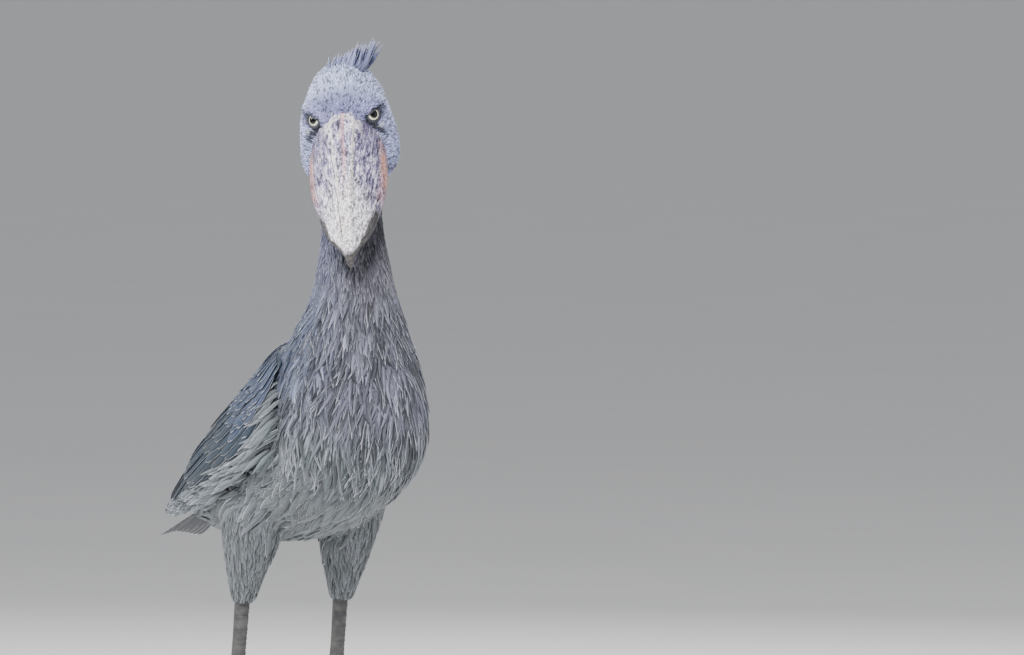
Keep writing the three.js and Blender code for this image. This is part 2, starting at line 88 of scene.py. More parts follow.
# Bill: ridge line, mouth line and jaw line, each as forward and up, then half width and ridge half width.
BILL = [
    [2, 24, 2, -34, 2, -71, 42, 18],
    [20, 25.5, 20, -38, 20, -74, 47.5, 17],
    [50, 18, 50, -43, 50, -78, 51, 14.5],
    [80, 8, 80, -47, 80, -79, 50, 12],
    [108, -1, 105, -50, 105, -78, 46, 9.5],
    [134, -9, 129, -51.5, 128, -75, 39.5, 7.8],
    [156, -17, 148, -52, 146, -70, 33.5, 6.6],
    [173, -25.5, 162, -52, 160, -63, 28, 6],
    [186, -34, 173, -52, 169, -57, 21.5, 6.5],
    [195, -43, 180, -53.5, 174, -56, 14.5, 5.5],
    [201, -53, 187, -59, 0, 0, 7.5, 4.2],
    [204, -62, 194, -65, 0, 0, 4, 3],
]
BILL_TIP = (201.5, -71)
LOWER_ROWS = 8  # the lower jaw ends at this row, inside the hook of the upper one
# Half sections of the jaws: share of the half width, of the ridge, plus mm, and height as a share of depth.
UPPER_SECTION = [
    [0, 0, 0, 0.965], [0, 0.45, 0, 0.975], [0, 0.72, 0, 1], [0, 0.95, 0, 0.985], [0, 1.02, 1.2, 0.93],
    [0.06, 1, 2.6, 0.885], [0.3, 0.6, 0, 0.82], [0.5, 0.3, 0, 0.71], [0.7, 0.12, 0, 0.57], [0.84, 0, 0, 0.42],
    [0.94, 0, 0, 0.29], [0.99, 0, 0, 0.17], [1, 0, 0, 0.09], [0.985, 0, 0, 0.02], [0.95, 0, 0, 0],
    [0.7, 0, 0, 0.03], [0.3, 0, 0, 0.05],
]
LOWER_SECTION = [
    [0.5, 0, 0, 0.98], [0.93, 0, 0, 1], [0.985, 0, 0, 0.97], [1, 0, 0, 0.88], [0.97, 0, 0, 0.66],
    [0.9, 0, 0, 0.42], [0.78, 0, 0, 0.22], [0.6, 0, 0, 0.09], [0.3, 0, 0, 0.01],
]
# Neck and trunk: sideways, back line y and z, belly line y and z, half width.
BODY = [
    [45, -22, 1040, -105, 1020, 44],
    [36, -40, 965, -125, 950, 42],
    [26, -62, 895, -150, 880, 40],
    [15, -75, 840, -182, 822, 48.5],
    [8, -78, 800, -208, 765, 62],
    [3, -68, 764, -230, 700, 83],
    [0, -42, 724, -244, 640, 104],
    [0, -4, 690, -232, 562, 114],
    [0, 50, 649, -150, 500, 115],
    [0, 108, 607, -40, 466, 106],
    [0, 163, 566, 65, 460, 85],
    [0, 206, 536, 145, 468, 56],
    [0, 234, 516, 198, 476, 32],
]
# The folded wing's outer face, in the same six measures, and the upper and lower edge in degrees from the back.
WING = [
    [0, -52, 736, -244, 640, 101],
    [0, -5, 699, -234, 560, 117],
    [0, 53, 659, -150, 498, 121],
    [0, 114, 614, -38, 464, 113],
    [0, 171, 571, 72, 450, 92],
    [0, 219, 537, 150, 446, 70],
    [0, 260, 509, 214, 446, 50],
    [0, 291, 488, 262, 448, 36],
]
WING_EDGES = [[18, 72], [12, 88], [10, 90], [10, 88], [13, 82], [18, 74], [22, 66], [24, 60]]
# Legs: sideways, backwards, up, half width and half depth.
THIGH = [
    [60, -14, 575, 42, 60], [63, -4, 520, 46, 62], [65, 6, 470, 38, 48],
    [67, 16, 425, 27, 31], [67.5, 23, 388, 17, 18],
]
THIGH_DEPTH = -4.0  # of the thigh's skin under its solid
SHANK = [
    [67.5, 24, 398, 10.2, 11],
    [68, 33, 330, 9, 10],
    [68, 39, 288, 10.5, 12.5],
    [68.3, 42, 262, 14, 17],
    [68.6, 40, 238, 11.5, 13],
    [69.5, 31, 150, 8.5, 9.5],
    [70.5, 20, 60, 9, 10],
    [71, 16, 32, 12, 13.5],
    [71, 14, 16, 14, 15.5],
    [71, 14, 4, 10, 11],
]
STEP = {"left": -34, "right": -8}  # how far back each leg stands
# Toes: length, degrees outwards from straight on, radius.
TOES = {"middle": (166, 6, 8), "inner": (124, -28, 7), "outer": (140, 38, 7), "hind": (76, 172, 7)}
CLAW_LENGTH = 23
PLATE_PITCH, TOE_PLATE_PITCH = 6.5, 5.5  # of the scales down the front of the shanks and along the toes

VIEW_LINE = (0.545, 0.839)  # the level line of sight of the photo, 33 degrees round from straight behind
MM = 0.001


def smooth(low, high, value):
    """From 0 at low to 1 at high, eased; low may be the greater."""
    t = np.clip((np.asarray(value, float) - low) / (high - low), 0, 1)
    return t * t * (3 - 2 * t)


def unit(vectors):
    """The vectors, each one long."""
    return vectors / np.maximum(np.linalg.norm(vectors, axis=-1, keepdims=True), 1e-9)


def along(table, place):
    """A smooth value between the rows of a table, at places counted in rows."""
    table, place = np.asarray(table, float), np.asarray(place, float)
    last = len(table) - 1
    i = np.clip(np.floor(place).astype(int), 0, last - 1)
    t = (place - i)[..., None]
    a, b, d, e = (table[np.clip(i + k, 0, last)] for k in (-1, 0, 1, 2))
    return b + 0.5 * t * (d - a + t * (2 * a - 5 * b + 4 * d - e + t * (3 * (b - d) + e - a)))


def turn(axis, degrees):
    """A turn about one axis, as a matrix."""
    c, s = math.cos(math.radians(degrees)), math.sin(math.radians(degrees))
    rows = {
        "x": [[1, 0, 0], [0, c, -s], [0, s, c]],
        "y": [[c, 0, s], [0, 1, 0], [-s, 0, c]],
        "z": [[c, -s, 0], [s, c, 0], [0, 0, 1]],
    }
    return np.array(rows[axis])


HEAD_AXES = turn("z", HEAD_TURN) @ turn("y", HEAD_ROLL) @ turn("x", HEAD_PITCH)


def skull(sideways, forward, up):
    """A point of the head's own frame, as millimetres in the body's frame."""
    local = np.stack(np.broadcast_arrays(np.asarray(sideways, float), -np.asarray(forward, float), up), -1)
    return local @ HEAD_AXES.T + EYES_MID


eye_low, eye_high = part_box("eye_left")
SHIFT = (np.array(eye_low) + np.array(eye_high)) / 2 - skull(EYE_SIDE, EYE_FORWARD, EYE_UP) * MM


def world(points):
    """Millimetres in the body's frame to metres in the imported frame."""
    return np.asarray(points) * MM + SHIFT


def body_mm(points):
    """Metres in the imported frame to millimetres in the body's frame."""
    return (points - SHIFT) / MM


# Making meshes


def mesh_object(name, vertices, faces):
    """An object from arrays of places and of faces with the same number of corners."""
    mesh = bpy.data.meshes.new(name)
    vertices, faces = np.asarray(vertices, float), np.asarray(faces, int)
    mesh.vertices.add(len(vertices))
    mesh.vertices.foreach_set("co", vertices.ravel())
    corners = faces.shape[1]
    mesh.loops.add(faces.size)
    mesh.loops.foreach_set("vertex_index", faces.ravel())
    mesh.polygons.add(len(faces))
    mesh.polygons.foreach_set("loop_start", np.arange(0, faces.size, corners))
    mesh.polygons.foreach_set("loop_total", np.full(len(faces), corners))
    mesh.update(calc_edges=True)
    piece = bpy.data.objects.new(name, mesh)
    bpy.context.scene.collection.objects.link(piece)
    return piece


def band(first, second, sides):
    """Two triangles for each side between two rings of vertices, which are given by their first numbers."""
    j = np.arange(sides)
    k = (j + 1) % sides
    return [np.stack([first + j, second + j, second + k], 1), np.stack([first + j, second + k, first + k], 1)]


def outwards(vertices, faces):
    """The faces of a closed body, turned over if they point inwards."""
    p = vertices[faces]
    inside_out = np.einsum("ij,ij->", p[:, 0], np.cross(p[:, 1], p[:, 2])) < 0
    return faces[:, ::-1] if inside_out else faces


def tube(name, rings, start=None, end=None):
    """A closed skin over rings, with a point at each end."""
    start = rings[0].mean(0) if start is None else start
    end = rings[-1].mean(0) if end is None else end
    count, sides = rings.shape[:2]
    vertices = np.vstack([[start], rings.reshape(-1, 3), [end]])
    j = np.arange(sides)
    k = (j + 1) % sides
    last = len(vertices) - 1
    faces = [np.stack([0 * j, 1 + j, 1 + k], 1), np.stack([0 * j + last, last - sides + k, last - sides + j], 1)]
    for r in range(count - 1):
        faces += band(1 + r * sides, 1 + (r + 1) * sides, sides)
    return mesh_object(name, world(vertices), outwards(vertices, np.vstack(faces)))


def joined(name, pieces):
    """One mesh from several, in triangles."""
    vertices, faces, count = [], [], 0
    for piece in pieces:
        mesh = piece.data
        points = np.empty(len(mesh.vertices) * 3)
        mesh.vertices.foreach_get("co", points)
        vertices.append(points.reshape(-1, 3))
        mesh.calc_loop_triangles()
        corners = np.empty(len(mesh.loop_triangles) * 3, int)
        mesh.loop_triangles.foreach_get("vertices", corners)
        faces.append(corners.reshape(-1, 3) + count)
        count += len(mesh.vertices)
        bpy.data.objects.remove(piece)
    return mesh_object(name, np.vstack(vertices), np.vstack(faces))


def finished(piece, name):
    """The piece with its modifiers applied."""
    evaluated = piece.evaluated_get(bpy.context.evaluated_depsgraph_get())
    mesh = bpy.data.meshes.new_from_object(evaluated)
    mesh.name = name
    piece.modifiers.clear()
    old, piece.data = piece.data, mesh
    bpy.data.meshes.remove(old)
    piece.name = name
    return piece


def soften(piece):
    piece.data.shade_smooth()
    return piece


def points_of(piece):
    points = np.empty(len(piece.data.vertices) * 3)
    piece.data.vertices.foreach_get("co", points)
    return points.reshape(-1, 3)


def move_points(piece, points):
    piece.data.vertices.foreach_set("co", points.ravel())
    piece.data.update()


# Materials


def linear(hex_colour):
    """An sRGB hex colour as linear red, green, blue and alpha."""
    parts = [int(hex_colour[i:i + 2], 16) / 255 for i in (1, 3, 5)]
    return [c / 12.92 if c <= 0.04045 else ((c + 0.055) / 1.055) ** 2.4 for c in parts] + [1.0]


def fill(made, inputs):
    """Fills inputs, named or in order: numbers, sRGB colours, outputs, or nodes for their first output in use."""
    for key, value in inputs.items() if isinstance(inputs, dict) else enumerate(inputs):
        if isinstance(value, bpy.types.Node):
            value = next(output for output in value.outputs if output.enabled)
        if isinstance(value, bpy.types.NodeSocket):
            made.id_data.links.new(value, made.inputs[key])
        else:
            is_colour = isinstance(value, str) and value.startswith("#")
            made.inputs[key].default_value = linear(value) if is_colour else value


def node(tree, kind, inputs=(), stops=(), **settings):
    """Adds a node with its settings and links, and the stops of its ramp as places with a colour or a grey."""
    made = tree.nodes.new(kind)
    for name, value in settings.items():
        setattr(made, name, value)
    fill(made, inputs)
    elements = made.color_ramp.elements if stops else []
    while len(elements) < len(stops):
        elements.new(0.5)
    for element, (place, colour) in zip(elements, stops):
        element.position = place
        element.color = linear(colour) if isinstance(colour, str) else (colour, colour, colour, 1)
    return made


def new_material(name):
    """A material, the way to add nodes to it, and its shader."""
    material = bpy.data.materials.new(name)
    material.use_nodes = True
    tree = material.node_tree
    return material, functools.partial(node, tree), tree.nodes["Principled BSDF"]


def plume_material(name, roughness, barb_mm, pale, edge_mm):
    """Feather keratin as grown: matt, with a soft sheen, fine barb lines and a thin worn pale edge."""
    material, add, shader = new_material(name)
    tint = add("ShaderNodeAttribute", attribute_name="Tint")
    vane, barb = (add("ShaderNodeAttribute", attribute_name=key).outputs["Vector"]
                  for key in ("Vane", "Barb"))
    across, _, onward = add("ShaderNodeSeparateXYZ", [vane]).outputs
    inside = add("ShaderNodeSeparateXYZ", [barb]).outputs["Z"]
    side = add("ShaderNodeMath", [across], operation="ABSOLUTE")
    # Barbs run slantwise from the shaft. Real ones lie 0.3 to 0.5 mm apart, too fine to show: these are coarser.
    slant = add("ShaderNodeMath", [side, -2.2, onward], operation="MULTIPLY_ADD")
    drawn = add("ShaderNodeCombineXYZ", [slant, across])
    barbs = add("ShaderNodeTexNoise", {"Vector": drawn, "Scale": 1 / barb_mm, "Detail": 2.0})
    place = add("ShaderNodeTexCoord").outputs["Object"]
    grain = add("ShaderNodeTexNoise", {"Vector": place, "Scale": 650.0, "Detail": 3.0})  # 1.5 mm clumps
    frayed = add("ShaderNodeTexNoise", {"Vector": barb, "Scale": 0.9, "Detail": 3.0})  # 1.1 mm notches
    # darker between the barbs, between the clumps and on the shaft
    shades = ((barbs, 0.3, 0.7, 0.8, 1.06), (grain, 0.3, 0.7, 0.86, 1.04), (side, 0.03, 0.1, 0.8, 1.0))
    colour = tint.outputs["Color"]
    for shade in shades:
        shade = add("ShaderNodeMapRange", shade)
        colour = add("ShaderNodeMix", {0: 1.0, 6: colour, 7: shade}, data_type="RGBA", blend_type="MULTIPLY")
    # the pale edge is thin and uneven
    edge = add("ShaderNodeMath", [inside, 0.7 * edge_mm], operation="ADD")
    edge = add("ShaderNodeMath", [frayed, -1.4 * edge_mm, edge], operation="MULTIPLY_ADD")
    edge = add("ShaderNodeMapRange", [edge, 1.3 * edge_mm, 0.6 * edge_mm])
    rim = add("ShaderNodeMath", [edge, tint.outputs["Alpha"]], operation="MULTIPLY")
    colour = add("ShaderNodeMix", {0: rim, 6: colour, 7: pale}, data_type="RGBA")
    bump = add("ShaderNodeBump", {"Strength": 0.5, "Distance": 0.5 * MM, "Height": barbs})
    fill(shader, {"Base Color": colour, "Normal": bump, "Roughness": roughness})
    fill(shader, {"Sheen Weight": 0.05, "Sheen Roughness": 0.4})
    return material


def clouded_material(name, dark, light, scale, detail, roughness):
    """An even surface with soft clouds between two tones: the grown horn of the claws, and the floor."""
    material, add, shader = new_material(name)
    place = add("ShaderNodeTexCoord").outputs["Object"]
    cloud = add("ShaderNodeTexNoise", {"Vector": place, "Scale": scale, "Detail": detail})
    colour = add("ShaderNodeValToRGB", [cloud], [(0.3, dark), (0.7, light)])
    fill(shader, {"Base Color": colour, "Roughness": roughness})
    return material


def set_colours(piece, colours, rim=0.0):
    """The tint of each vertex; its alpha is how pale the vane's edge is."""
    layer = piece.data.color_attributes.new("Tint", "FLOAT_COLOR", "POINT")
    values = np.ones((len(piece.data.vertices), 4))
    values[:, :3] = colours
    values[:, 3] = rim
    layer.data.foreach_set("color", values.ravel())


def set_map(piece, name, values):
    """A UV map from one pair of values for each vertex."""
    layer = piece.data.uv_layers.new(name=name)
    corners = np.empty(len(piece.data.loops), int)
    piece.data.loops.foreach_get("vertex_index", corners)
    layer.data.foreach_set("uv", np.asarray(values, float)[corners].ravel())


def set_vectors(piece, name, values):
    layer = piece.data.attributes.new(name, "FLOAT_VECTOR", "POINT")
    layer.data.foreach_set("vector", np.asarray(values, float).ravel())


def set_plain_barbs(piece):
    """For a surface with no vanes of its own: a place in mm, 50 mm inside any edge."""
    set_vectors(piece, "Barb", points_of(piece) * [1000, 1000, 0] + [0, 0, 50])


def place_piece(piece, slot, material, *nodes):
    """Gives a finished piece its material, fixes it to the root, and hides the nodes that it replaces. The slot is
    not used.
    """
    piece.data.materials.clear()
    piece.data.materials.append(material)
    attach(piece, "root")
    if nodes:
        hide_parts(*nodes)


# The skin: head, neck, trunk and thighs in one, inside the solids by the coat's depth


def section(table, place, degrees, grow=0.0):
    """Points of the neck, trunk or wing sections, at places and at degrees round from the back."""
    row = along(table, place)
    back = row[..., [0, 1, 2]]
    belly = row[..., [0, 3, 4]]
    middle = (back + belly) / 2
    up = back - middle
    up = up * (1 + np.asarray(grow)[..., None] / np.linalg.norm(up, axis=-1, keepdims=True))
    angle = np.radians(degrees)
    across = (row[..., 5] + grow) * np.sin(angle)
    point = middle + up * np.cos(angle)[..., None]
    return point + across[..., None] * np.array([1.0, 0, 0])


def head_ring(place, angles, grow):
    """Sideways, forward and up of one head section; the hanging cheeks are wider below."""
    forward, top, bottom, width, widest, square = along(HEAD, place)
    s, c = np.sin(angles), np.cos(angles)
    power = 2 / np.where(c > 0, square, 2.4)
    out = (width + grow) * np.sign(s) * np.abs(s) ** power
    reach = np.where(c > 0, top - widest + grow, bottom - widest - grow)
    up = widest + reach * np.abs(c) ** power
    return out + CHEEK_SAG * np.minimum(0, up + 45), forward, up


def body_depth(place):
    """How far the skin lies under the solid of the neck and trunk, where the feathers get longer."""
    return -(3.0 + 5.0 * smooth(2, 6, place))


def build_skin():
    degrees = np.arange(0, 360, 5)
    rings = [skull(*head_ring(p, np.radians(degrees), HEAD_DEPTH)) for p in np.linspace(0, len(HEAD) - 1, 50)]
    parts = [tube("head_form", np.array(rings), skull(0, -87, -3), skull(0, 31, -28))]
    places = np.linspace(0, len(BODY) - 1, 110)
    depths = body_depth(places) - 18 * (1 - smooth(0, 1.0, places))  # its top tapers off inside the head
    rings = [section(BODY, np.full(72, p), degrees, np.full(72, depth)) for p, depth in zip(places, depths)]
    parts.append(tube("trunk_form", np.array(rings)))
    turns = np.radians(np.arange(0, 360, 20))
    for side, back in ((1, STEP["left"]), (-1, STEP["right"])):
        parts.append(tube("thigh_form", limb_rings(THIGH, side, back, 40, 40, THIGH_DEPTH)))
        brow = along(BROW, np.linspace(0, len(BROW) - 1, 24))
        rings = [skull(side * x, forward + (r - 1.5) * np.cos(turns), up + (r - 1.5) * np.sin(turns))
                 for x, forward, up, r in brow]
        parts.append(tube("brow_form", np.array(rings)))
    skin = joined("skin_form", parts)
    remesh = skin.modifiers.new("union", "REMESH")
    remesh.mode, remesh.voxel_size = "VOXEL", 2.6 * MM
    calm = skin.modifiers.new("calm", "SMOOTH")
    calm.factor, calm.iterations = 0.5, 5
    return ease_nape(finished(skin, "plumage_skin"))


def ease_nape(skin):
    """Fills the crease where the back of the head meets the neck, so that the nape runs down in one line."""
    points = body_mm(points_of(skin))
    behind = VIEW_LINE[0] * points[:, 0] + VIEW_LINE[1] * points[:, 1]
    weights = smooth(-55, -30, behind) * smooth(830, 880, points[:, 2]) * smooth(1060, 1010, points[:, 2])
    group = skin.vertex_groups.new(name="crease")
    for index in np.flatnonzero(weights > 0):
        group.add([int(index)], float(weights[index]), "REPLACE")
    ease = skin.modifiers.new("ease", "SMOOTH")
    ease.factor, ease.iterations, ease.vertex_group = 0.5, 90, "crease"
    finished(skin, "plumage_skin")
    skin.vertex_groups.clear()
    return skin


def limb_rings(table, side, back, count, sides, grow=0.0):
    """Level rings down a thigh or shank."""
    rings = []
    angles = np.linspace(0, 2 * np.pi, sides, endpoint=False)
    for x, y, z, width, depth in along(table, np.linspace(0, len(table) - 1, count)):
        across = side * x + (width + grow) * np.sin(angles)
        rings.append(np.stack([across, y + back + (depth + grow) * np.cos(angles), np.full(sides, z)], 1))
    return np.array(rings)


def eye_middle(side):
    return skull(side * EYE_SIDE, EYE_FORWARD, EYE_UP)


def eye_axis(side):
    out, forward, up = EYE_AIM
    return unit(np.array([side * out, -forward, up])) @ HEAD_AXES.T


def eye_frame(side):
    """The line of sight, and across it the ways to the bill and up."""
    axis = eye_axis(side)
    to_bill = tangent(np.array([-side * 1.0, 0, 0]) @ HEAD_AXES.T, axis)
    upward = np.cross(axis, to_bill)
    return axis, to_bill, upward * np.sign(upward[2])


def round_eye(points, side):
    """Each point's distance from the eye's middle in mm, then degrees from the line of sight, and round it."""
    axis, to_bill, upward = eye_frame(side)
    away = (points - world(eye_middle(side))) / MM
    reach = np.maximum(np.linalg.norm(away, axis=1), 1e-6)
    angle = np.degrees(np.arccos(np.clip(away @ axis / reach, -1, 1)))
    return reach, angle, np.degrees(np.arctan2(away @ upward, away @ to_bill))


def lid_edge(degrees):
    """How far the opening between the lids reaches, in degrees from the line of sight, at degrees round it."""
    facing = np.maximum(np.cos(np.radians(degrees - BROW_SLANT)), 1e-3)
    opening = ((IRIS + 0.2) ** -7.0 + (BROW_CUT / facing) ** -7.0) ** (-1 / 7)
    return np.degrees(np.arcsin(opening / EYE_RADIUS))


def shape_feather_line(skin):
    """The horn reaches back in a peak on the middle line, and the feathers reach forward beside it."""
    local = (body_mm(points_of(skin)) - EYES_MID) @ HEAD_AXES
    out, forward, up = np.abs(local[:, 0]), -local[:, 1], local[:, 2]
    horn = np.interp(forward, [row[0] for row in BILL], [row[1] for row in BILL])
    edge = 9 + 0.95 * np.minimum(out, 23)
    near = smooth(34, 26, out) * smooth(-24, -8, forward) * smooth(40, 30, forward) * (up > 0)
    behind = smooth(edge + 3, edge - 3, forward)
    raised = np.maximum(up, horn + 0.6) * smooth(4, 12, out) + up * (1 - smooth(4, 12, out))
    sunk = np.minimum(up, horn - 4)
    local[:, 2] = up + near * (behind * (raised - up) + (1 - behind) * (sunk - up))
    move_points(skin, (local @ HEAD_AXES.T + EYES_MID) * MM + SHIFT)


def hollow_sockets(skin):
    """Presses the skin back behind each opening, so that the eye sits deep under its brow."""
    points = points_of(skin)
    floor = EYE_RADIUS * 0.82  # of the socket, from the eye's middle
    for side in (1, -1):
        middle = world(eye_middle(side))
        reach, angle, around = round_eye(points, side)
        edge = lid_edge(around)
        pull = (1 - smooth(edge + 5, edge + 17, angle)) * (reach < 32) * (reach > floor)
        points += (points - middle) * ((floor / reach - 1) * pull)[:, None]
    move_points(skin, points)


# Guide points: where the plumage lies, which way, and its place on the unwrapped skin


ON_HEAD, ON_BODY, ON_THIGH = 0, 1, 2  # kinds of guide point


def tangent(direction, normal):
    return unit(direction - (direction * normal).sum(-1, keepdims=True) * normal)


def guide_points():
    """Places, lies, unwrapped places and kinds. A kind is its number, then forward and up, or row and degrees."""
    place, degrees = np.meshgrid(np.arange(0.6, len(BODY) - 0.95, 0.1), np.arange(0, 360, 6.0), indexing="ij")
    depth = body_depth(place)
    points = section(BODY, place, degrees, depth)
    lie = unit(section(BODY, place + 0.05, degrees, depth) - section(BODY, place - 0.05, degrees, depth))
    maps = np.stack([0.02 + degrees / 360 * 0.46, 0.04 + place / 12 * 0.9], -1)
    kinds = np.stack([np.full(place.shape, ON_BODY), place, degrees], -1)
    sets = [(points, lie, maps, kinds)]
    place, degrees = np.meshgrid(np.arange(0, len(HEAD) - 0.9, 0.25), np.arange(0, 360, 6.0), indexing="ij")
    rings = [head_ring(p, np.radians(degrees[0]), HEAD_DEPTH) for p in place[:, 0]]
    sideways = np.array([r[0] for r in rings])
    forward = np.array([np.full(degrees.shape[1], r[1]) for r in rings])
    up = np.array([r[2] for r in rings])
    fall = smooth(5, -70, forward) * 0.75 + 0.35 * smooth(-10, -90, up)
    flow = np.stack([0.25 * sideways / 60, 1 - fall, -0.12 - fall], -1)
    maps = np.stack([0.52 + degrees / 360 * 0.44, 0.5 + place / 9 * 0.46], -1)
    kinds = np.stack([np.full(place.shape, ON_HEAD), forward, up], -1)
    sets.append((skull(sideways, forward, up), unit(flow) @ HEAD_AXES.T, maps, kinds))
    for number, (side, back) in enumerate(((1, STEP["left"]), (-1, STEP["right"]))):
        rings = limb_rings(THIGH, side, back, 30, 24, THIGH_DEPTH)[8:]
        down = np.broadcast_to(np.array([0, 0.12, -1.0]), rings.shape)
        row, column = np.meshgrid(np.arange(rings.shape[0]), np.arange(24), indexing="ij")
        maps = np.stack([0.52 + 0.22 * number + column / 24 * 0.2, 0.05 + row / 30 * 0.35], -1)
        kinds = np.stack([np.full(row.shape, ON_THIGH), row / 30.0, column], -1)
        sets.append((rings, unit(down), maps, kinds))
    return [np.vstack([s[i].reshape(-1, s[i].shape[-1]) for s in sets]) for i in range(4)]


GUIDES, LIES, MAPS, KINDS = guide_points()
guide_tree = KDTree(len(GUIDES))
for number, point in enumerate(world(GUIDES)):
    guide_tree.insert(point, number)
guide_tree.balance()


def read_guides(points):
    """Lie, unwrapped place and kind for each point, from its three nearest guide points."""
    lie, maps, kinds = np.zeros((len(points), 3)), np.zeros((len(points), 2)), np.zeros((len(points), 3))
    for number, point in enumerate(points):
        near = guide_tree.find_n(point, 3)
        weights = np.array([1 / (n[2] + 1e-4) for n in near])
        picks = [n[1] for n in near]
        lie[number] = weights @ LIES[picks]
        maps[number] = MAPS[picks[0]]
        kinds[number] = KINDS[picks[0]]
    return unit(lie), maps, kinds


# Colours of the plumage by place

CROWN, FACE, CHEEK, DARK_SKIN_AND_SHADE, PALE_SPOT = "#c6d1fb", "#8c8bc0", "#bcc4f4", "#09090e", "#d3d1cb"
NAPE, NECK, BREAST, BELLY, FLANK, BACK = "#5d617e", "#54535f", "#535462", "#62686c", "#5c6469", "#3f495f"
SLATE, SHOULDER, QUILL, CREST = "#1a2c3c", "#33405a", "#1a1f29", "#7b80ab"
LORE = np.array([[28, 17, 8], [46, 11, -20]])  # the dark strip from the eye down along the bill: bare skin, with painted shade in its crease against the bill
# the pale spot under the eye, and a spot of painted shade under the brow's outer end
UNDER_EYE, SHADE_UNDER_BROW = np.array([44, 8, -9]), np.array([48, -9, 8])


def rgb(hex_colour):
    return np.array(linear(hex_colour)[:3])


def mixed(a, b, share):
    return a + (b - a) * np.asarray(share)[..., None]


def from_back(degrees):
    """How far round from the middle of the back, from 0 to 180 degrees."""
    return np.abs((degrees + 180) % 360 - 180)


def plumage_colour(kinds):
    """The ground colour of the plumage for each kind of place, the same for the skin and the feathers on it."""
    colours = np.zeros((len(kinds), 3))
    forward, up = kinds[:, 1], kinds[:, 2]
    crown = mixed(rgb(CHEEK), rgb(CROWN), smooth(-30, 10, up))
    crown = mixed(crown, rgb(FACE), smooth(-22, 6, forward) * smooth(-20, 10, up) * 0.9)
    crown = mixed(crown, rgb(NAPE), smooth(-55, -85, forward) * 0.5)
    place, around = kinds[:, 1], from_back(kinds[:, 2])
    front = smooth(60, 150, around)
    neck, trunk = mixed(rgb(NAPE), rgb(NECK), front), mixed(rgb(BACK), rgb(BREAST), front)
    tone = mixed(neck, trunk, smooth(2.6, 4.6, place))
    tone = mixed(tone, mixed(rgb(BACK), rgb(FLANK), smooth(50, 110, around)), smooth(5.6, 6.8, place))
    tone = mixed(tone, rgb(BELLY), smooth(6.4, 8, place) * front)
    for kind, values in ((ON_HEAD, crown), (ON_BODY, tone)):
        colours[kinds[:, 0] == kind] = values[kinds[:, 0] == kind]
    colours[kinds[:, 0] == ON_THIGH] = rgb(BELLY)
    return colours


def skull_places(points):
    """Sideways from the middle, forward and up, in mm, in the head's own frame."""
    local = (body_mm(points) - EYES_MID) @ HEAD_AXES
    return np.stack([np.abs(local[:, 0]), -local[:, 1], local[:, 2]], 1)


def face_marks(points, colours):
    """The dark bare ring, the dark lore with painted shade in its crease, painted shade under the brow's outer end,
    and the pale spot under the eye, over the plumage's own colours.
    """
    places = skull_places(points)
    start, way = LORE[0], LORE[1] - LORE[0]
    share = np.clip((places - start) @ way / (way @ way), 0, 1)
    # bare dark skin, and painted shade in the crease along the bill
    lore = 1 - smooth(2.5, 8.5, np.linalg.norm(places - start - share[:, None] * way, axis=1))
    dark = 0.94 * lore
    for side in (1, -1):
        reach, angle, around = round_eye(points, side)
        ring = (1 - smooth(9, 21, angle - lid_edge(around))) * (reach < 24)
        dark = np.maximum(dark, ring)
    # a dark spot under the brow's outer end: painted shade of the brow, over dark skin
    dark = np.maximum(dark, 1 - smooth(3, 7.5, np.linalg.norm(places - SHADE_UNDER_BROW, axis=1)))
    pale = 0.75 * (1 - smooth(3, 7, np.linalg.norm(places - UNDER_EYE, axis=1))) * (1 - lore)
    # dark bare skin, and painted shade in the lore's crease and under the brow
    colours = mixed(colours, rgb(DARK_SKIN_AND_SHADE), dark * (1 - pale))
    return mixed(colours, rgb(PALE_SPOT), pale), np.maximum(dark, pale)


# Feathers


def scatter(skin, mask, spacing, seed):
    """Even random points on the skin where the mask is high, made by a small tree of geometry nodes."""
    tree = bpy.data.node_groups.new("scatter", "GeometryNodeTree")
    for name, kind in (("Geometry", "Geometry"), ("Spacing", "Float"), ("Seed", "Int")):
        tree.interface.new_socket(name, in_out="INPUT", socket_type=f"NodeSocket{kind}")
    tree.interface.new_socket("Geometry", in_out="OUTPUT", socket_type="NodeSocketGeometry")
    given = node(tree, "NodeGroupInput").outputs
    weight = node(tree, "GeometryNodeInputNamedAttribute", {"Name": mask}, data_type="FLOAT")
    spread = {"Mesh": given["Geometry"], "Distance Min": given["Spacing"], "Density Max": 4 / spacing ** 2,
              "Density Factor": weight, "Seed": given["Seed"]}
    spread = node(tree, "GeometryNodeDistributePointsOnFaces", spread, distribute_method="POISSON")
    node(tree, "NodeGroupOutput", [node(tree, "GeometryNodePointsToVertices", [spread])])
    copy = bpy.data.objects.new("roots", skin.data.copy())
    bpy.context.scene.collection.objects.link(copy)
    modifier = copy.modifiers.new("scatter", "NODES")
    modifier.node_group = tree
    for item in tree.interface.items_tree:
        if item.in_out == "INPUT" and item.name in ("Spacing", "Seed"):
            modifier[item.identifier] = spacing if item.name == "Spacing" else seed
    roots = points_of(finished(copy, "roots"))
    bpy.data.meshes.remove(copy.data)
    return roots


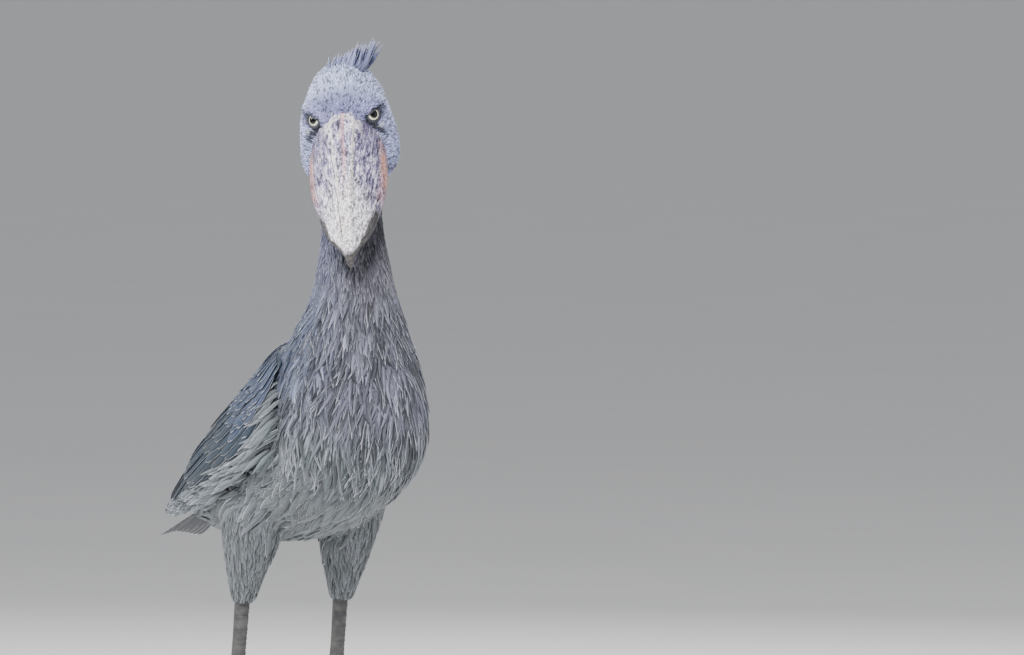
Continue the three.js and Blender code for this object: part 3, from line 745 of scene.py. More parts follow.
# Forms of feather: a section across it, and along it the share of the length and the share of the width.
FLAT, TUFT = [(-1, 0), (0, 1), (1, 0), (0, -0.7)], [(-1, 0), (0, 1), (1, 0)]
VELVET = {"section": TUFT, "profile": [(0, 0.75), (0.5, 1), (0.86, 0.5)]}
HAIRY = {"section": TUFT, "profile": [(0, 0.7), (0.35, 1), (0.7, 0.7), (0.9, 0.3)]}
ROUND = {"section": FLAT, "profile": [(0, 0.6), (0.25, 0.9), (0.5, 1), (0.68, 0.96), (0.84, 0.8), (0.95, 0.48)]}
LEAF = {"section": FLAT, "profile": [(0, 0.55), (0.22, 0.9), (0.45, 1), (0.65, 0.85), (0.82, 0.55), (0.94, 0.24)]}
LANCE = {"section": FLAT, "profile": [(0, 0.6), (0.22, 0.95), (0.42, 1), (0.6, 0.8), (0.78, 0.5), (0.92, 0.2)]}


def stations(form):
    """Where the places along a feather lie, from its root to its tip."""
    return np.array([share for share, _ in form["profile"]] + [1.0])


def vanes(name, form, middles, outs, widths, thickness, tints, rims, maps, roll, fray, camber=0.12):
    """Many feathers in one mesh. Middles and outs hold, for each feather, its stations and its tip."""
    section_points = np.array(form["section"], float)
    profile = np.array(form["profile"], float)
    count, sides, rows = len(middles), len(section_points), len(profile)
    onward = unit(np.gradient(middles, axis=1))
    across = unit(np.cross(onward, outs))
    out = unit(np.cross(across, onward))
    c, s = np.cos(roll)[:, None, None], np.sin(roll)[:, None, None]
    across, out = across * c + out * s, out * c - across * s
    wide = widths[:, None] / 2 * profile[:, 1]
    ragged = 1 + fray * rng.standard_normal((count, rows, sides))
    a = section_points[:, 0] * wide[..., None] * ragged
    thick = thickness * (1 - 0.6 * profile[:, 0])[None, :, None]
    h = section_points[:, 1] * thick - camber * section_points[:, 0] ** 2 * wide[..., None]
    body = middles[:, :-1, None] + across[:, :-1, None] * a[..., None] + out[:, :-1, None] * h[..., None]
    vertices = np.concatenate([body.reshape(count, -1, 3), middles[:, -1:]], 1)
    each = rows * sides + 1
    top = (rows - 1) * sides
    j = np.arange(sides)
    faces = [face for r in range(rows - 1) for face in band(r * sides, (r + 1) * sides, sides)]
    faces.append(np.stack([top + j, np.full(sides, each - 1), top + (j + 1) % sides], 1))
    faces.append(np.array([[0, i, i + 1] for i in range(1, sides - 1)]))
    faces = outwards(vertices[0] - vertices[0][0], np.vstack(faces))
    faces = (faces[None] + (np.arange(count) * each)[:, None, None]).reshape(-1, 3)
    piece = mesh_object(name, vertices.reshape(-1, 3), faces)
    # darker towards the downy root: painted shade where the feathers above cover it
    root = np.concatenate([np.repeat(1 - 0.45 * (1 - smooth(0, 0.55, profile[:, 0])), sides), [1.0]])
    set_colours(piece, (tints[:, None] * root[None, :, None]).reshape(-1, 3), np.repeat(rims, each))
    # u runs across each vane from -1 to 1, and v along it from 0 to 1
    u = np.concatenate([np.tile(section_points[:, 0], rows), [0.0]])
    v = np.concatenate([np.repeat(profile[:, 0], sides), [1.0]])
    lengths = np.linalg.norm(np.diff(middles, axis=1), axis=-1).sum(1) / MM
    bake = maps[:, None] + 0.003 * (np.stack([u / 2, v], -1) - [0, 0.5])[None]
    set_map(piece, "OFBake", bake.reshape(-1, 2))
    offset = rng.random((count, 1)) * 90  # so that no two vanes show the same barbs
    along_mm = v[None] * lengths[:, None] + offset
    across_mm = u[None] * widths[:, None] / MM / 2 + offset
    flat = np.broadcast_to(u, along_mm.shape), np.broadcast_to(v, along_mm.shape)
    set_vectors(piece, "Vane", np.stack([*flat, along_mm], -1))
    on_shaft = np.abs(np.tile(section_points[:, 0], rows)) < 0.5
    half = np.append(np.repeat(profile[:, 1], sides) * on_shaft, 0.0)
    inside = np.minimum(half[None] * widths[:, None] / MM / 2, (1 - v)[None] * lengths[:, None])
    set_vectors(piece, "Barb", np.stack([across_mm, along_mm, inside], -1))
    return soften(piece)


def lay_paths(tree, roots, lies, lengths, lifts, shares):
    """Stations of feathers that follow the skin from their roots, sunk at the root and lifted at the tip."""
    sink = 0.8 * MM
    middles, outs = np.zeros((2, len(roots), len(shares), 3))
    for number, (root, lie, length, lift) in enumerate(zip(roots, lies, lengths, lifts)):
        point, direction, done = Vector(root), Vector(lie), 0.0
        for step, share in enumerate(shares):
            point = point + direction * (length * (share - done))
            done = share
            point, normal, _, _ = tree.find_nearest(point)
            direction = (direction - normal * direction.dot(normal)).normalized()
            middles[number, step] = point + normal * (-sink + (sink + lift) * share ** 0.85)
            outs[number, step] = normal
    return middles, outs


def coat(name, mask, slot, form, spacing, length, width, thickness, lift, rim, fray, jitter,
         mottle=0.0, clump=0.0, vary=0.2, streak_and_shade=0.0):
    """A piece of the coat: scattered roots, their lie, then feathers. Sizes in mm, or functions of kinds."""
    roots = scatter(skin, mask, spacing * MM, len(name))
    count = len(roots)

    def pattern(scales):
        return np.array([noise.noise(Vector(p * scales)) for p in roots])

    lies, maps, kinds = read_guides(roots)
    length, lift = (size(kinds) if callable(size) else size for size in (length, lift))
    normals = np.array([surface.find_nearest(Vector(p))[1] for p in roots])
    lies = tangent(lies, normals)
    sway = pattern(55) * clump  # 18 mm locks that lean together
    lies = unit(lies + np.cross(normals, lies) * (sway + rng.normal(0, jitter, count))[:, None])
    lengths = length * (1 + 0.16 * rng.standard_normal(count).clip(-2, 2)) * MM
    widths = width * (0.85 + 0.3 * rng.random(count)) * MM
    lifts = lift * (0.6 + 0.8 * rng.random(count)) * MM
    middles, outs = lay_paths(surface, roots, lies, lengths, lifts, stations(form))
    tints = plumage_colour(kinds) * (1 - vary + 2 * vary * rng.random((count, 1)))
    if mottle:
        specks, clouds = pattern(230), pattern(60)  # 4 mm dark specks in 17 mm clouds
        dark = np.maximum(smooth(0.12, 0.34, specks), rng.random(count) < 0.09)
        tints = tints * ((1 - mottle * dark) * (1 + 0.5 * mottle * clouds))[:, None]
    # long bands of tone: the darker ones are painted shade between the locks, the paler ones paler strands
    if streak_and_shade:
        bands = pattern(np.array([85, 85, 26]))  # 12 mm wide, drawn out downwards
        darker, paler = smooth(0.0, 0.3, bands), smooth(-0.05, -0.4, bands)
        tints = tints * (1 - 0.8 * streak_and_shade * darker + 1.5 * streak_and_shade * paler)[:, None]
    tints, marked = face_marks(roots, tints)
    rims = np.minimum(rim * 2 * rng.random(count) ** 1.5, 1) * (1 - marked)
    roll = rng.normal(0, 0.2, count)
    piece = vanes(name, form, middles, outs, widths, thickness * MM, tints, rims, maps, roll, fray)
    place_piece(piece, slot, plumage)


# The wings, tail and crest, feather by feather

def wing_surface(side, place, degrees):
    """Points of the folded wing's outer face, and the way out from it."""
    point = section(WING, place, side * degrees)
    onward = section(WING, place + 0.03, side * degrees) - section(WING, place - 0.03, side * degrees)
    around = section(WING, place, side * (degrees + 1.5)) - section(WING, place, side * (degrees - 1.5))
    out = unit(np.cross(onward, around))
    out *= np.sign(out @ np.array([side, 0, 0.6]))[..., None]
    return point, out


# Each tier: rows, feathers in a row, where the first and last roots and tips lie, their angles, width and lift.
TIERS = [
    ("primary", 1, 7, (4.0, 3.9), (6.95, 6.1), (30, 70), (28, 62), 20, 1.5, QUILL),
    ("secondary", 1, 13, (2.9, 2.6), (6.2, 4.5), (16, 84), (17, 86), 27, 3.5, SLATE),
    ("greater", 1, 14, (2.0, 1.7), (3.9, 3.45), (14, 84), (15, 87), 25, 4.6, SLATE),
    ("median", 2, 14, (1.1, 0.95), (2.75, 2.5), (15, 80), (15, 86), 23, 5.4, SLATE),
    ("lesser", 6, 13, (-0.05, 0.05), (0.62, 0.7), (18, 72), (17, 78), 21, 6.2, SHOULDER),
]


def wing_feathers(side, name):
    """The tiers of one wing. Each row is laid a little further on than the last, and none is quite even."""
    shares = stations(ROUND)
    laid = []
    for number, (tier, rows, count, start, end, root, tip, width, lift, colour) in enumerate(TIERS):
        for row in range(rows):
            t = (np.arange(count) + 0.5 * (row % 2)) / (count - 0.5)
            shift = row * (0.21 if tier == "lesser" else -0.36)
            first = start[0] + (start[1] - start[0]) * t + shift + rng.normal(0, 0.02, count)
            last = end[0] + (end[1] - end[0]) * t + shift + rng.normal(0, 0.045, count)
            from_angle = root[0] + (root[1] - root[0]) * t + rng.normal(0, 0.8, count)
            to_angle = tip[0] + (tip[1] - tip[0]) * t + rng.normal(0, 1.2, count)
            place = first[:, None] + (last - first)[:, None] * shares
            angle = from_angle[:, None] + (to_angle - from_angle)[:, None] * shares
            point, out = wing_surface(side, place, angle)
            level = lift + (0.35 * row if tier == "median" else 0.0)
            height = -0.6 + (level + 0.6 + rng.normal(0, 0.5, (count, 1))) * shares ** 0.8
            middles = world(point + out * height[..., None])
            widths = np.full(count, width * MM) * (1 + rng.normal(0, 0.06, count))
            tints = rgb(colour) * (0.82 + 0.36 * rng.random((count, 1)))
            rims = (0.45 if tier in ("primary", "secondary") else 0.8) * (0.6 + 0.5 * rng.random(count))
            maps = np.stack([0.05 + 0.4 * (side > 0) + 0.35 * t, 0.1 + 0.1 * number + 0.012 * row + 0 * t], -1)
            laid.append((middles, out, widths, tints, rims, maps))
    middles, outs, widths, tints, rims, maps = (np.concatenate(item) for item in zip(*laid))
    roll = math.radians(8) * side + rng.normal(0, 0.04, len(widths))
    name = f"wing_plumage_{name}"
    return vanes(name, ROUND, middles, outs, widths, 0.9 * MM, tints, rims, maps, roll, 0.03, 0.05)


def flank_fringe(side, name):
    """Long pale-edged flank feathers that lie over the wing's lower edge."""
    shares = stations(LANCE)
    count = 200
    t = (np.arange(count) + rng.random(count)) / count
    start = 0.25 + 4.6 * t + rng.normal(0, 0.08, count)
    edge = along(np.array(WING_EDGES, float), start)[:, 1]
    place = start[:, None] + (0.5 + 0.3 * rng.random((count, 1))) * shares
    angle = (edge + 6 + rng.normal(0, 3.5, count))[:, None] - (4 + rng.normal(0, 4, (count, 1))) * shares
    point, out = wing_surface(side, place, angle)
    height = -8 + (13 + rng.normal(0, 0.7, (count, 1))) * shares ** 0.4
    middles = world(point + out * height[..., None])
    tints = rgb(FLANK) * (1.0 + 0.35 * rng.random((count, 1)))
    maps = np.stack([0.05 + 0.4 * (side > 0) + 0.35 * t, 0.75 + 0 * t], -1)
    widths = (6 + 4 * rng.random(count)) * MM
    rims = rng.random(count) ** 1.5
    roll = rng.normal(0, 0.08, count)
    name = f"flank_fringe_{name}"
    return vanes(name, LANCE, middles, out, widths, 0.4 * MM, tints, rims, maps, roll, 0.12, 0.02)


def wing_core(side, name):
    """The wing's own skin, under its feathers."""
    rings = []
    for place in np.linspace(-0.1, 5.2, 30):
        top, bottom = along(WING_EDGES, place)
        degrees = np.linspace(top + 3, bottom - 4, 18)
        outer, out = wing_surface(side, np.full(18, place), degrees)
        depth = 9 - 7.5 * float(smooth(3.2, 4.6, place))
        rings.append(np.vstack([outer - 1.2 * out, (outer - depth * out)[::-1]]))
    return tube(f"wing_skin_{name}", np.array(rings))


def tail_feathers():
    """The short tail, just covered by the folded wings."""
    shares = stations(ROUND)
    count = 12
    t = np.linspace(-1, 1, count)
    x = t[:, None] * (14 + 17 * shares)
    length = 82 * (1 - 0.08 * t ** 2)
    y = 218 + length[:, None] * shares
    z = 497 - 38 * shares[None] - 5 * np.abs(t)[:, None]
    middles = world(np.stack([x, y, z], -1))
    outs = unit(np.stack([0.25 * t, 0 * t + 0.42, 0 * t + 0.9], -1))
    outs = np.broadcast_to(outs[:, None], middles.shape)
    tints = np.broadcast_to(rgb(QUILL), (count, 3))
    maps = np.stack([0.1 + 0.3 * (t + 1) / 2, 0 * t + 0.8], -1)
    widths, rims, roll = np.full(count, 15 * MM), np.full(count, 0.5), -np.sign(t) * math.radians(9)
    return vanes("tail_plumage", ROUND, middles, outs, widths, 0.8 * MM, tints, rims, maps, roll, 0.02, 0.04)


def crest_feathers():
    """Narrow plumes from the back of the crown, leaning to the bird's left, the hindmost shortest."""
    shares = stations(LANCE)
    count = 300
    t, row = rng.random(count) ** 0.7, rng.random(count)
    root = np.stack([-21 + 51 * t, 46 + 30 * row, 39 - 28 * row], -1)
    tall = np.where(rng.random(count) < 0.4, 1.0, 0.66)
    length = 46 * (0.45 + 0.62 * t) * (1 - 0.25 * row) * tall * (0.8 + 0.3 * rng.random(count))
    lean = 0.18 + 0.42 * t + rng.normal(0, 0.1, count)
    backwards, up = 0.8 + 0.3 * row + rng.normal(0, 0.14, count), 0.4 + rng.normal(0, 0.15, count)
    heading = unit(np.stack([lean, backwards, up], -1))
    bend = 0.18 * length[:, None] * shares ** 2
    local = root[:, None] + (length[:, None] * shares)[..., None] * heading[:, None] - 5 * heading[:, None]
    local = local + np.stack([0 * bend, 0.4 * bend, 0.6 * bend], -1)
    middles = world(skull(local[..., 0], -local[..., 1], local[..., 2]))
    outs = np.broadcast_to(np.array([0, -0.5, 0.86]) @ HEAD_AXES.T, middles.shape)
    tints = rgb(CREST) * (0.35 + 0.85 * rng.random((count, 1)))
    maps = np.stack([0.6 + 0.2 * t, 0.6 + 0.1 * row], -1)
    widths = (4.2 + 3 * rng.random(count)) * MM
    rims, roll = np.full(count, 0.3), rng.normal(0, 0.6, count)
    return vanes("crest_plumage", LANCE, middles, outs, widths, 0.45 * MM, tints, rims, maps, roll, 0.1)


# The bill


def bill_ring(half, high, low, width, ridge):
    """One closed section of a jaw between its high and its low line, from its half section."""
    points = []
    for share, ridges, extra, up in half:
        out = min(share * width + ridges * ridge + extra * min(1, width / 30), width)
        points.append((out, *(low + (high - low) * up)))
    points = np.array(points)
    mirrored = points[::-1] * [-1, 1, 1]
    if points[0, 0] == 0:
        mirrored = mirrored[:-1]
    return np.vstack([points, mirrored])


def bill_rings(upper):
    rings = []
    half = np.array(UPPER_SECTION if upper else LOWER_SECTION)
    last = len(BILL) - 1 if upper else LOWER_ROWS
    fine = along(half, np.linspace(0, len(half) - 1, 44 if upper else 30))
    for place in np.linspace(0, last, 120 if upper else 80):
        row = along(BILL, place)
        ridge_line, mouth_line, jaw_line, (width, ridge) = row[0:2], row[2:4], row[4:6], row[6:8]
        if upper:
            rings.append(bill_ring(fine, ridge_line, mouth_line, width, ridge))
        else:
            rings.append(bill_ring(fine, mouth_line - [0, 0.8], jaw_line, width * 0.93, 0.0))
    return np.array(rings)


def build_bill(upper):
    rings = bill_rings(upper)
    sideways, forward, up = rings[..., 0], rings[..., 1], rings[..., 2]
    if upper:
        # nostril slits: the groove beside the ridge sinks in
        near = np.exp(-(((forward - 42) / 5.5) ** 2) - ((np.abs(sideways) - 16) / 1.6) ** 2)
        up -= 3.2 * near * (up > 0)
        fine_lines = np.sin(sideways * 2.1 + 0.6 * np.sin(forward * 0.07)) * 0.12
        up += fine_lines * smooth(120, 190, forward)
    points = skull(sideways, forward, up)
    end = skull(0, *BILL_TIP) if upper else points[-1].mean(0)
    piece = tube("bill_upper_horn" if upper else "bill_lower_horn", points, points[0].mean(0), end)
    local = np.vstack([[rings[0].mean(0)], rings.reshape(-1, 3), [[0, *BILL_TIP]]])
    set_vectors(piece, "Skull", local * MM)
    # how far in from the widest line of the jaw, well inside at its base and near the edge at its tip
    inward = np.abs(sideways).max(1, keepdims=True) - np.abs(sideways)
    inward = np.concatenate([[20], inward.ravel(), [4]])
    set_vectors(piece, "Margin", np.stack([inward * MM, 0 * inward, 0 * inward], 1))
    return soften(piece)


def bill_material():
    """Horn as grown and rubbed: satin, lilac grey, with pale ridges, bare pink rims, streaks and dark flecks."""
    material, add, shader = new_material("mottled_horn")
    place, margin = (add("ShaderNodeAttribute", attribute_name=key).outputs["Vector"]
                     for key in ("Skull", "Margin"))
    sideways, forward, up = add("ShaderNodeSeparateXYZ", [place]).outputs
    margin = add("ShaderNodeSeparateXYZ", [margin]).outputs["X"]
    patterns = []
    for scale, stretch, detail, roughness in (
        (70.0, 0.5, 3.0, 0.55),  # patches of 14 mm
        (330.0, 0.16, 4.0, 0.65),  # streaks 3 mm wide, drawn out along the bill
        (560.0, 0.45, 3.0, 0.7),  # flecks of 2 mm
        (60.0, 0.6, 3.0, 0.55),  # slow waves that no edge follows quite straight
        (150.0, 0.3, 2.0, 0.55),  # breaks of 7 mm in the dark crack
    ):
        drawn = add("ShaderNodeMapping", {"Vector": place, "Scale": (1, stretch, 1)})
        noise_inputs = {"Vector": drawn, "Scale": scale, "Detail": detail, "Roughness": roughness}
        patterns.append(add("ShaderNodeTexNoise", noise_inputs))
    cloud, streaks, flecks, waves, breaks = patterns
    colour = add("ShaderNodeMath", [cloud, 0.38], operation="MULTIPLY")
    colour = add("ShaderNodeMath", [streaks, 0.62, colour], operation="MULTIPLY_ADD")
    stops = [(0.4, "#221e33"), (0.46, "#655f80"), (0.52, "#a099bc"), (0.59, "#e6dfec")]
    colour = add("ShaderNodeValToRGB", [colour], stops)

    side = add("ShaderNodeMath", [sideways], operation="ABSOLUTE")
    wave = add("ShaderNodeMath", [waves, 0.006, -0.003], operation="MULTIPLY_ADD")
    reach = add("ShaderNodeMath", [forward, -0.05], operation="ADD")
    reach = add("ShaderNodeMath", [streaks, 0.1, reach], operation="MULTIPLY_ADD")
    reach = add("ShaderNodeMath", [side, -1.3, reach], operation="MULTIPLY_ADD")
    ridge = add("ShaderNodeMapRange", [forward, 0.0, 0.175, 0.0175, 0.0045])
    ridge = add("ShaderNodeMath", [ridge, wave], operation="ADD")
    ridge = add("ShaderNodeMath", [side, ridge], operation="SUBTRACT")
    crack = add("ShaderNodeMath", [ridge, -0.0029], operation="ADD")
    crack = add("ShaderNodeMath", [crack], operation="ABSOLUTE")
    ridge = add("ShaderNodeMath", [ridge], operation="ABSOLUTE")
    base = add("ShaderNodeMath", [forward, wave], operation="ADD")
    base = add("ShaderNodeMath", [side, -0.95, base], operation="MULTIPLY_ADD")
    middle = add("ShaderNodeMath", [sideways, wave], operation="ADD")
    middle = add("ShaderNodeMath", [middle], operation="ABSOLUTE")
    rim = add("ShaderNodeMath", [margin, wave], operation="ADD")
    seam = add("ShaderNodeMath", [rim, -0.0085], operation="ADD")
    seam = add("ShaderNodeMath", [seam], operation="ABSOLUTE")

    def strength(*masks):
        """Masks multiplied. Each is a source, where it starts and ends in metres, and its strength there."""
        masks = [add("ShaderNodeMapRange", mask) for mask in masks]
        product = masks.pop(0)
        for mask in masks:
            product = add("ShaderNodeMath", [product, mask], operation="MULTIPLY")
        return product

    top = (up, -0.045, -0.025, 0.0, 1.0)
    short_of_nail = (forward, 0.1, 0.125, 1.0, 0.0)
    for over, *masks in (
        # worn and whitish towards the end
        ("#fbf4f8", (reach, 0.06, 0.13, 0.0, 0.9), (streaks, 0.4, 0.52, 0.3, 1.0)),
        # the side below the ridge is darker on its upper half
        ("#69617f", (side, 0.016, 0.03, 0.0, 0.45), (forward, 0.03, 0.12, 1.0, 0.0)),
        # the two ridges beside the middle line, rubbed pale, with a dark crack on their outer side
        ("#ece6df", (ridge, 0.001, 0.0027, 0.8, 0.0), top, (streaks, 0.38, 0.5, 0.45, 1.0)),
        ("#4a4653", (crack, 0.0003, 0.0012, 0.9, 0.0), top, (breaks, 0.42, 0.55, 0.0, 1.0)),
        # the rubbed base edge, by the feathers
        ("#e6dfe0", (base, 0.0165, 0.019, 0.5, 0.0), (side, 0.022, 0.027, 1.0, 0.0)),
        # the pink middle line
        ("#c8949b", (middle, 0.001, 0.004, 0.75, 0.0), (forward, 0.07, 0.14, 1.0, 0.0),
         (streaks, 0.35, 0.55, 0.4, 1.0)),
        # the bare rims by the mouth, and the seam along them
        ("#cb8f76", (rim, 0.005, 0.0085, 0.9, 0.0), (forward, 0.025, 0.04, 0.0, 1.0), short_of_nail,
         (cloud, 0.4, 0.58, 0.3, 0.9)),
        ("#5b5666", (seam, 0.0003, 0.001, 0.7, 0.0), short_of_nail),
    ):
        colour = add("ShaderNodeMix", {0: strength(*masks), 6: colour, 7: over}, data_type="RGBA")
    # the hooked nail and the cutting edges by it: dark olive horn
    edge = add("ShaderNodeMath", [wave, 2.0], operation="MULTIPLY")
    edge = add("ShaderNodeMath", [margin, edge], operation="ADD")
    edge = strength((edge, 0.003, 0.006, 1.0, 0.0), (forward, 0.115, 0.135, 0.0, 1.0))
    nail = add("ShaderNodeMath", [up, wave], operation="ADD")
    nail = strength((nail, -0.041, -0.047, 0.0, 1.0), (forward, 0.14, 0.165, 0.0, 1.0))
    nail = add("ShaderNodeMath", [edge, nail], operation="MAXIMUM")
    nail = add("ShaderNodeMath", [nail, 0.92], operation="MULTIPLY")
    olive = add("ShaderNodeValToRGB", [streaks], [(0.42, "#040302"), (0.6, "#1f1c10")])
    colour = add("ShaderNodeMix", {0: nail, 6: colour, 7: olive}, data_type="RGBA")
    marks = add("ShaderNodeValToRGB", [flecks], [(0.41, 0.05), (0.5, 1.0)])
    marks = {0: strength((cloud, 0.3, 0.7, 1.0, 0.8)), 6: colour, 7: marks}
    colour = add("ShaderNodeMix", marks, data_type="RGBA", blend_type="MULTIPLY")
    bump = add("ShaderNodeBump", {"Strength": 0.6, "Distance": 1.4 * MM, "Height": streaks})
    bump = add("ShaderNodeBump", {"Strength": 0.5, "Distance": 0.5 * MM, "Height": flecks, "Normal": bump})
    fill(shader, {"Base Color": colour, "Normal": bump, "Roughness": 0.62})
    return material


# Eyes and lids


def build_eye(side, name):
    """An eyeball with its pole on the line of sight, and a low bulge for the cornea.

    Gaze holds the angle from that line, as a share of a half turn, then the way round it.
    """
    axis, right, upward = eye_frame(side)
    middle = eye_middle(side)
    angles = np.linspace(3, 177, 60)
    turns = np.radians(np.arange(0, 360, 6))
    spokes = np.cos(turns)[:, None] * right + np.sin(turns)[:, None] * upward
    rings = []
    for angle in angles:
        a = math.radians(angle)
        radius = EYE_RADIUS - 0.15 + 0.55 * math.exp(-((angle / 26) ** 2))
        rings.append(middle + radius * (math.cos(a) * axis + math.sin(a) * spokes))
    front, back = middle + (EYE_RADIUS + 0.4) * axis, middle - (EYE_RADIUS - 0.15) * axis
    piece = tube(f"eyeball_{name}", np.array(rings), front, back)
    values = np.concatenate([[0], np.repeat(angles, len(turns)), [180]]) / 180
    around = np.concatenate([[0], np.tile(turns, len(angles)), [0]])
    set_vectors(piece, "Gaze", np.stack([values, np.cos(around), np.sin(around)], 1))
    return soften(piece)


def eye_material():
    """A wet eye: pale grey-yellow iris and black pupil under a clear cornea, so that it mirrors the lights."""
    material, add, shader = new_material("wet_eye")
    gaze = add("ShaderNodeAttribute", attribute_name="Gaze").outputs["Vector"]
    angle = add("ShaderNodeSeparateXYZ", [gaze]).outputs["X"]
    pupil, iris = (math.degrees(math.asin(r / EYE_RADIUS)) / 180 for r in (PUPIL, IRIS))
    stops = [
        (0.0, "#030304"), (pupil - 0.004, "#030304"), (pupil + 0.008, "#55574a"), (pupil + 0.02, "#b9bba6"),
        (pupil + 0.05, "#dfdfca"), (iris - 0.02, "#d3d4c0"), (iris - 0.004, "#4b4b44"), (iris + 0.01, "#101012"),
    ]
    rings = add("ShaderNodeValToRGB", [angle], stops)
    fibres = add("ShaderNodeTexNoise", {"Vector": gaze, "Scale": 9.0, "Detail": 3.0})
    shade = add("ShaderNodeValToRGB", [fibres], [(0.3, 0.75), (0.7, 1.0)])
    colour = add("ShaderNodeMix", {0: 0.7, 6: rings, 7: shade}, data_type="RGBA", blend_type="MULTIPLY")
    fill(shader, {"Base Color": colour, "Roughness": 0.06, "IOR": 1.38})
    return material


def build_lids(side, name):
    """A thick bare rim round the eye's opening, cut nearly straight by the upper lid, and the skin behind it."""
    axis, to_bill, upward = eye_frame(side)
    middle = eye_middle(side)
    rings = []
    for around in np.arange(0, 360, 4.0):
        spoke = math.cos(math.radians(around)) * to_bill + math.sin(math.radians(around)) * upward
        edge = float(lid_edge((around + 180) % 360 - 180))
        over = 0.5 + 0.5 * math.cos(math.radians(around - BROW_SLANT))  # the upper lid is the heavier
        angles = edge + np.array([2.5, 0, -1.5, 0, 3, 7, 12, 17, 23, 30, 34, 30, 22, 10])
        heights = np.array([0.1, 0.12, 0.6, 1.2, 1.6, 1.5, 1.7, 1.5, 1.2, 0.4, -0.8, -0.8, -0.5, 0])
        heights[2:9] += 1.3 * over * np.array([0.4, 0.8, 1, 1, 0.9, 0.6, 0.3])
        folds = np.sin(np.radians(angles) * 34 + 0.6 * math.sin(math.radians(around * 3)))
        folds = 0.16 * folds * (heights > 1)
        a = np.radians(angles)[:, None]
        rings.append(middle + (EYE_RADIUS + heights + folds)[:, None] * (np.cos(a) * axis + np.sin(a) * spoke))
    rings = np.array(rings)
    count, sides = rings.shape[:2]
    faces = [face for r in range(count) for face in band(r * sides, (r + 1) % count * sides, sides)]
    vertices = rings.reshape(-1, 3)
    return soften(mesh_object(f"lids_{name}", world(vertices), outwards(vertices, np.vstack(faces))))


def skin_material(name, dark, light, roughness, scale, bump_mm):
    """Bare skin as grown: raised cells, and broad plates where there are any, with dark creases between them."""
    material, add, shader = new_material(name)
    place = add("ShaderNodeTexCoord").outputs["Object"]
    cells = add("ShaderNodeTexVoronoi", {"Vector": place, "Scale": scale}, feature="DISTANCE_TO_EDGE")
    cloud = add("ShaderNodeTexNoise", {"Vector": place, "Scale": scale * 0.25, "Detail": 4.0})
    colour = add("ShaderNodeValToRGB", [cloud], [(0.35, dark), (0.65, light)])
    crease = add("ShaderNodeValToRGB", [cells], [(0.0, 0.25), (0.14, 1.0)])
    plate = add("ShaderNodeAttribute", attribute_name="Plate").outputs["Vector"]
    phase, front, _ = add("ShaderNodeSeparateXYZ", [plate]).outputs
    gap = add("ShaderNodeValToRGB", [phase], [(0.0, 0.2), (0.1, 0.9), (0.85, 1.0), (0.97, 0.2)])
    crease = add("ShaderNodeMix", {0: front, 6: crease, 7: gap}, data_type="RGBA")
    colour = add("ShaderNodeMix", {0: 0.8, 6: colour, 7: crease}, data_type="RGBA", blend_type="MULTIPLY")
    bump = add("ShaderNodeBump", {"Strength": 0.7, "Distance": bump_mm * MM, "Height": crease})
    fill(shader, {"Base Color": colour, "Normal": bump, "Roughness": roughness})
    return material


# Legs and feet


def build_shank(side, back, name):
    """A shank with overlapping plates down its front.

    Plate holds how far along its own plate a point is, and how much it lies on the front.
    """
    rings = limb_rings(SHANK, side, back, 260, 40)
    middle = rings.mean(1, keepdims=True)
    away = rings - middle
    front = smooth(-0.2, 0.6, -unit(away)[..., 1])
    phase = (rings[:, :1, 2] / PLATE_PITCH) % 1.0
    swell = 1 + 0.1 * front * (0.5 - phase)
    piece = tube(f"shank_scaled_{name}", middle + away * swell[..., None])
    plates = np.stack([np.broadcast_to(phase, front.shape), front, 0 * front], -1).reshape(-1, 3)
    set_vectors(piece, "Plate", np.vstack([[0.5, 0, 0], plates, [0.5, 0, 0]]))
    return soften(piece)


def toe_line(side, back, degrees):
    """Where a toe starts, the way it points, and the way across it."""
    x, y = SHANK[-1][:2]
    angle = math.radians(degrees * side)
    heading = np.array([math.sin(angle), -math.cos(angle), 0])
    return np.array([side * x, y + back, 0]), heading, np.array([math.cos(angle), math.sin(angle), 0])


def build_toe(side, back, toe, name):
    """A jointed toe, lying flat on the floor, with plates across its top."""
    length, degrees, radius = toe
    root, heading, across = toe_line(side, back, degrees)
    turns = np.linspace(0, 2 * np.pi, 26, endpoint=False)
    rings = []
    for share in np.linspace(0, 1, 110):
        bulge = 0.93 + 0.07 * math.cos(share * 8 * math.pi)
        plates = 1 + 0.05 * (0.5 - (share * length / TOE_PLATE_PITCH) % 1.0)
        r = radius * (1 - 0.35 * share) * bulge * (1 if share < 0.97 else 0.8)
        out, up = r * np.sin(turns), r * 0.86 + r * np.cos(turns) * np.where(np.cos(turns) > 0, plates, 1)
        middle = root + heading * (6 + (length - 6) * share)
        rings.append(middle + out[:, None] * across + np.maximum(up, 0)[:, None] * [0, 0, 1])
    return soften(tube(name, np.array(rings)))


def build_claw(side, back, toe, name):
    """A claw that tapers and bends down to the floor."""
    length, degrees, radius = toe
    root, heading, across = toe_line(side, back, degrees)
    turns = np.linspace(0, 2 * np.pi, 20, endpoint=False)
    rings = []
    for share in np.linspace(-0.12, 0.97, 26):
        blunt = 1 if share < 0.7 else math.sqrt(max(0.02, (1 - share) / 0.3))
        r = radius * 0.42 * (1 - 0.62 * share) * blunt
        height = 4.4 - 2.9 * share * share + r * 0.2
        middle = root + heading * (length + CLAW_LENGTH * share) + np.array([0, 0, height])
        rings.append(middle + r * 0.85 * np.sin(turns)[:, None] * across + r * np.cos(turns)[:, None] * [0, 0, 1])
    tip = root + heading * (length + CLAW_LENGTH) + np.array([0, 0, 1.0])
    return soften(tube(name, np.array(rings), None, tip))


# Building it

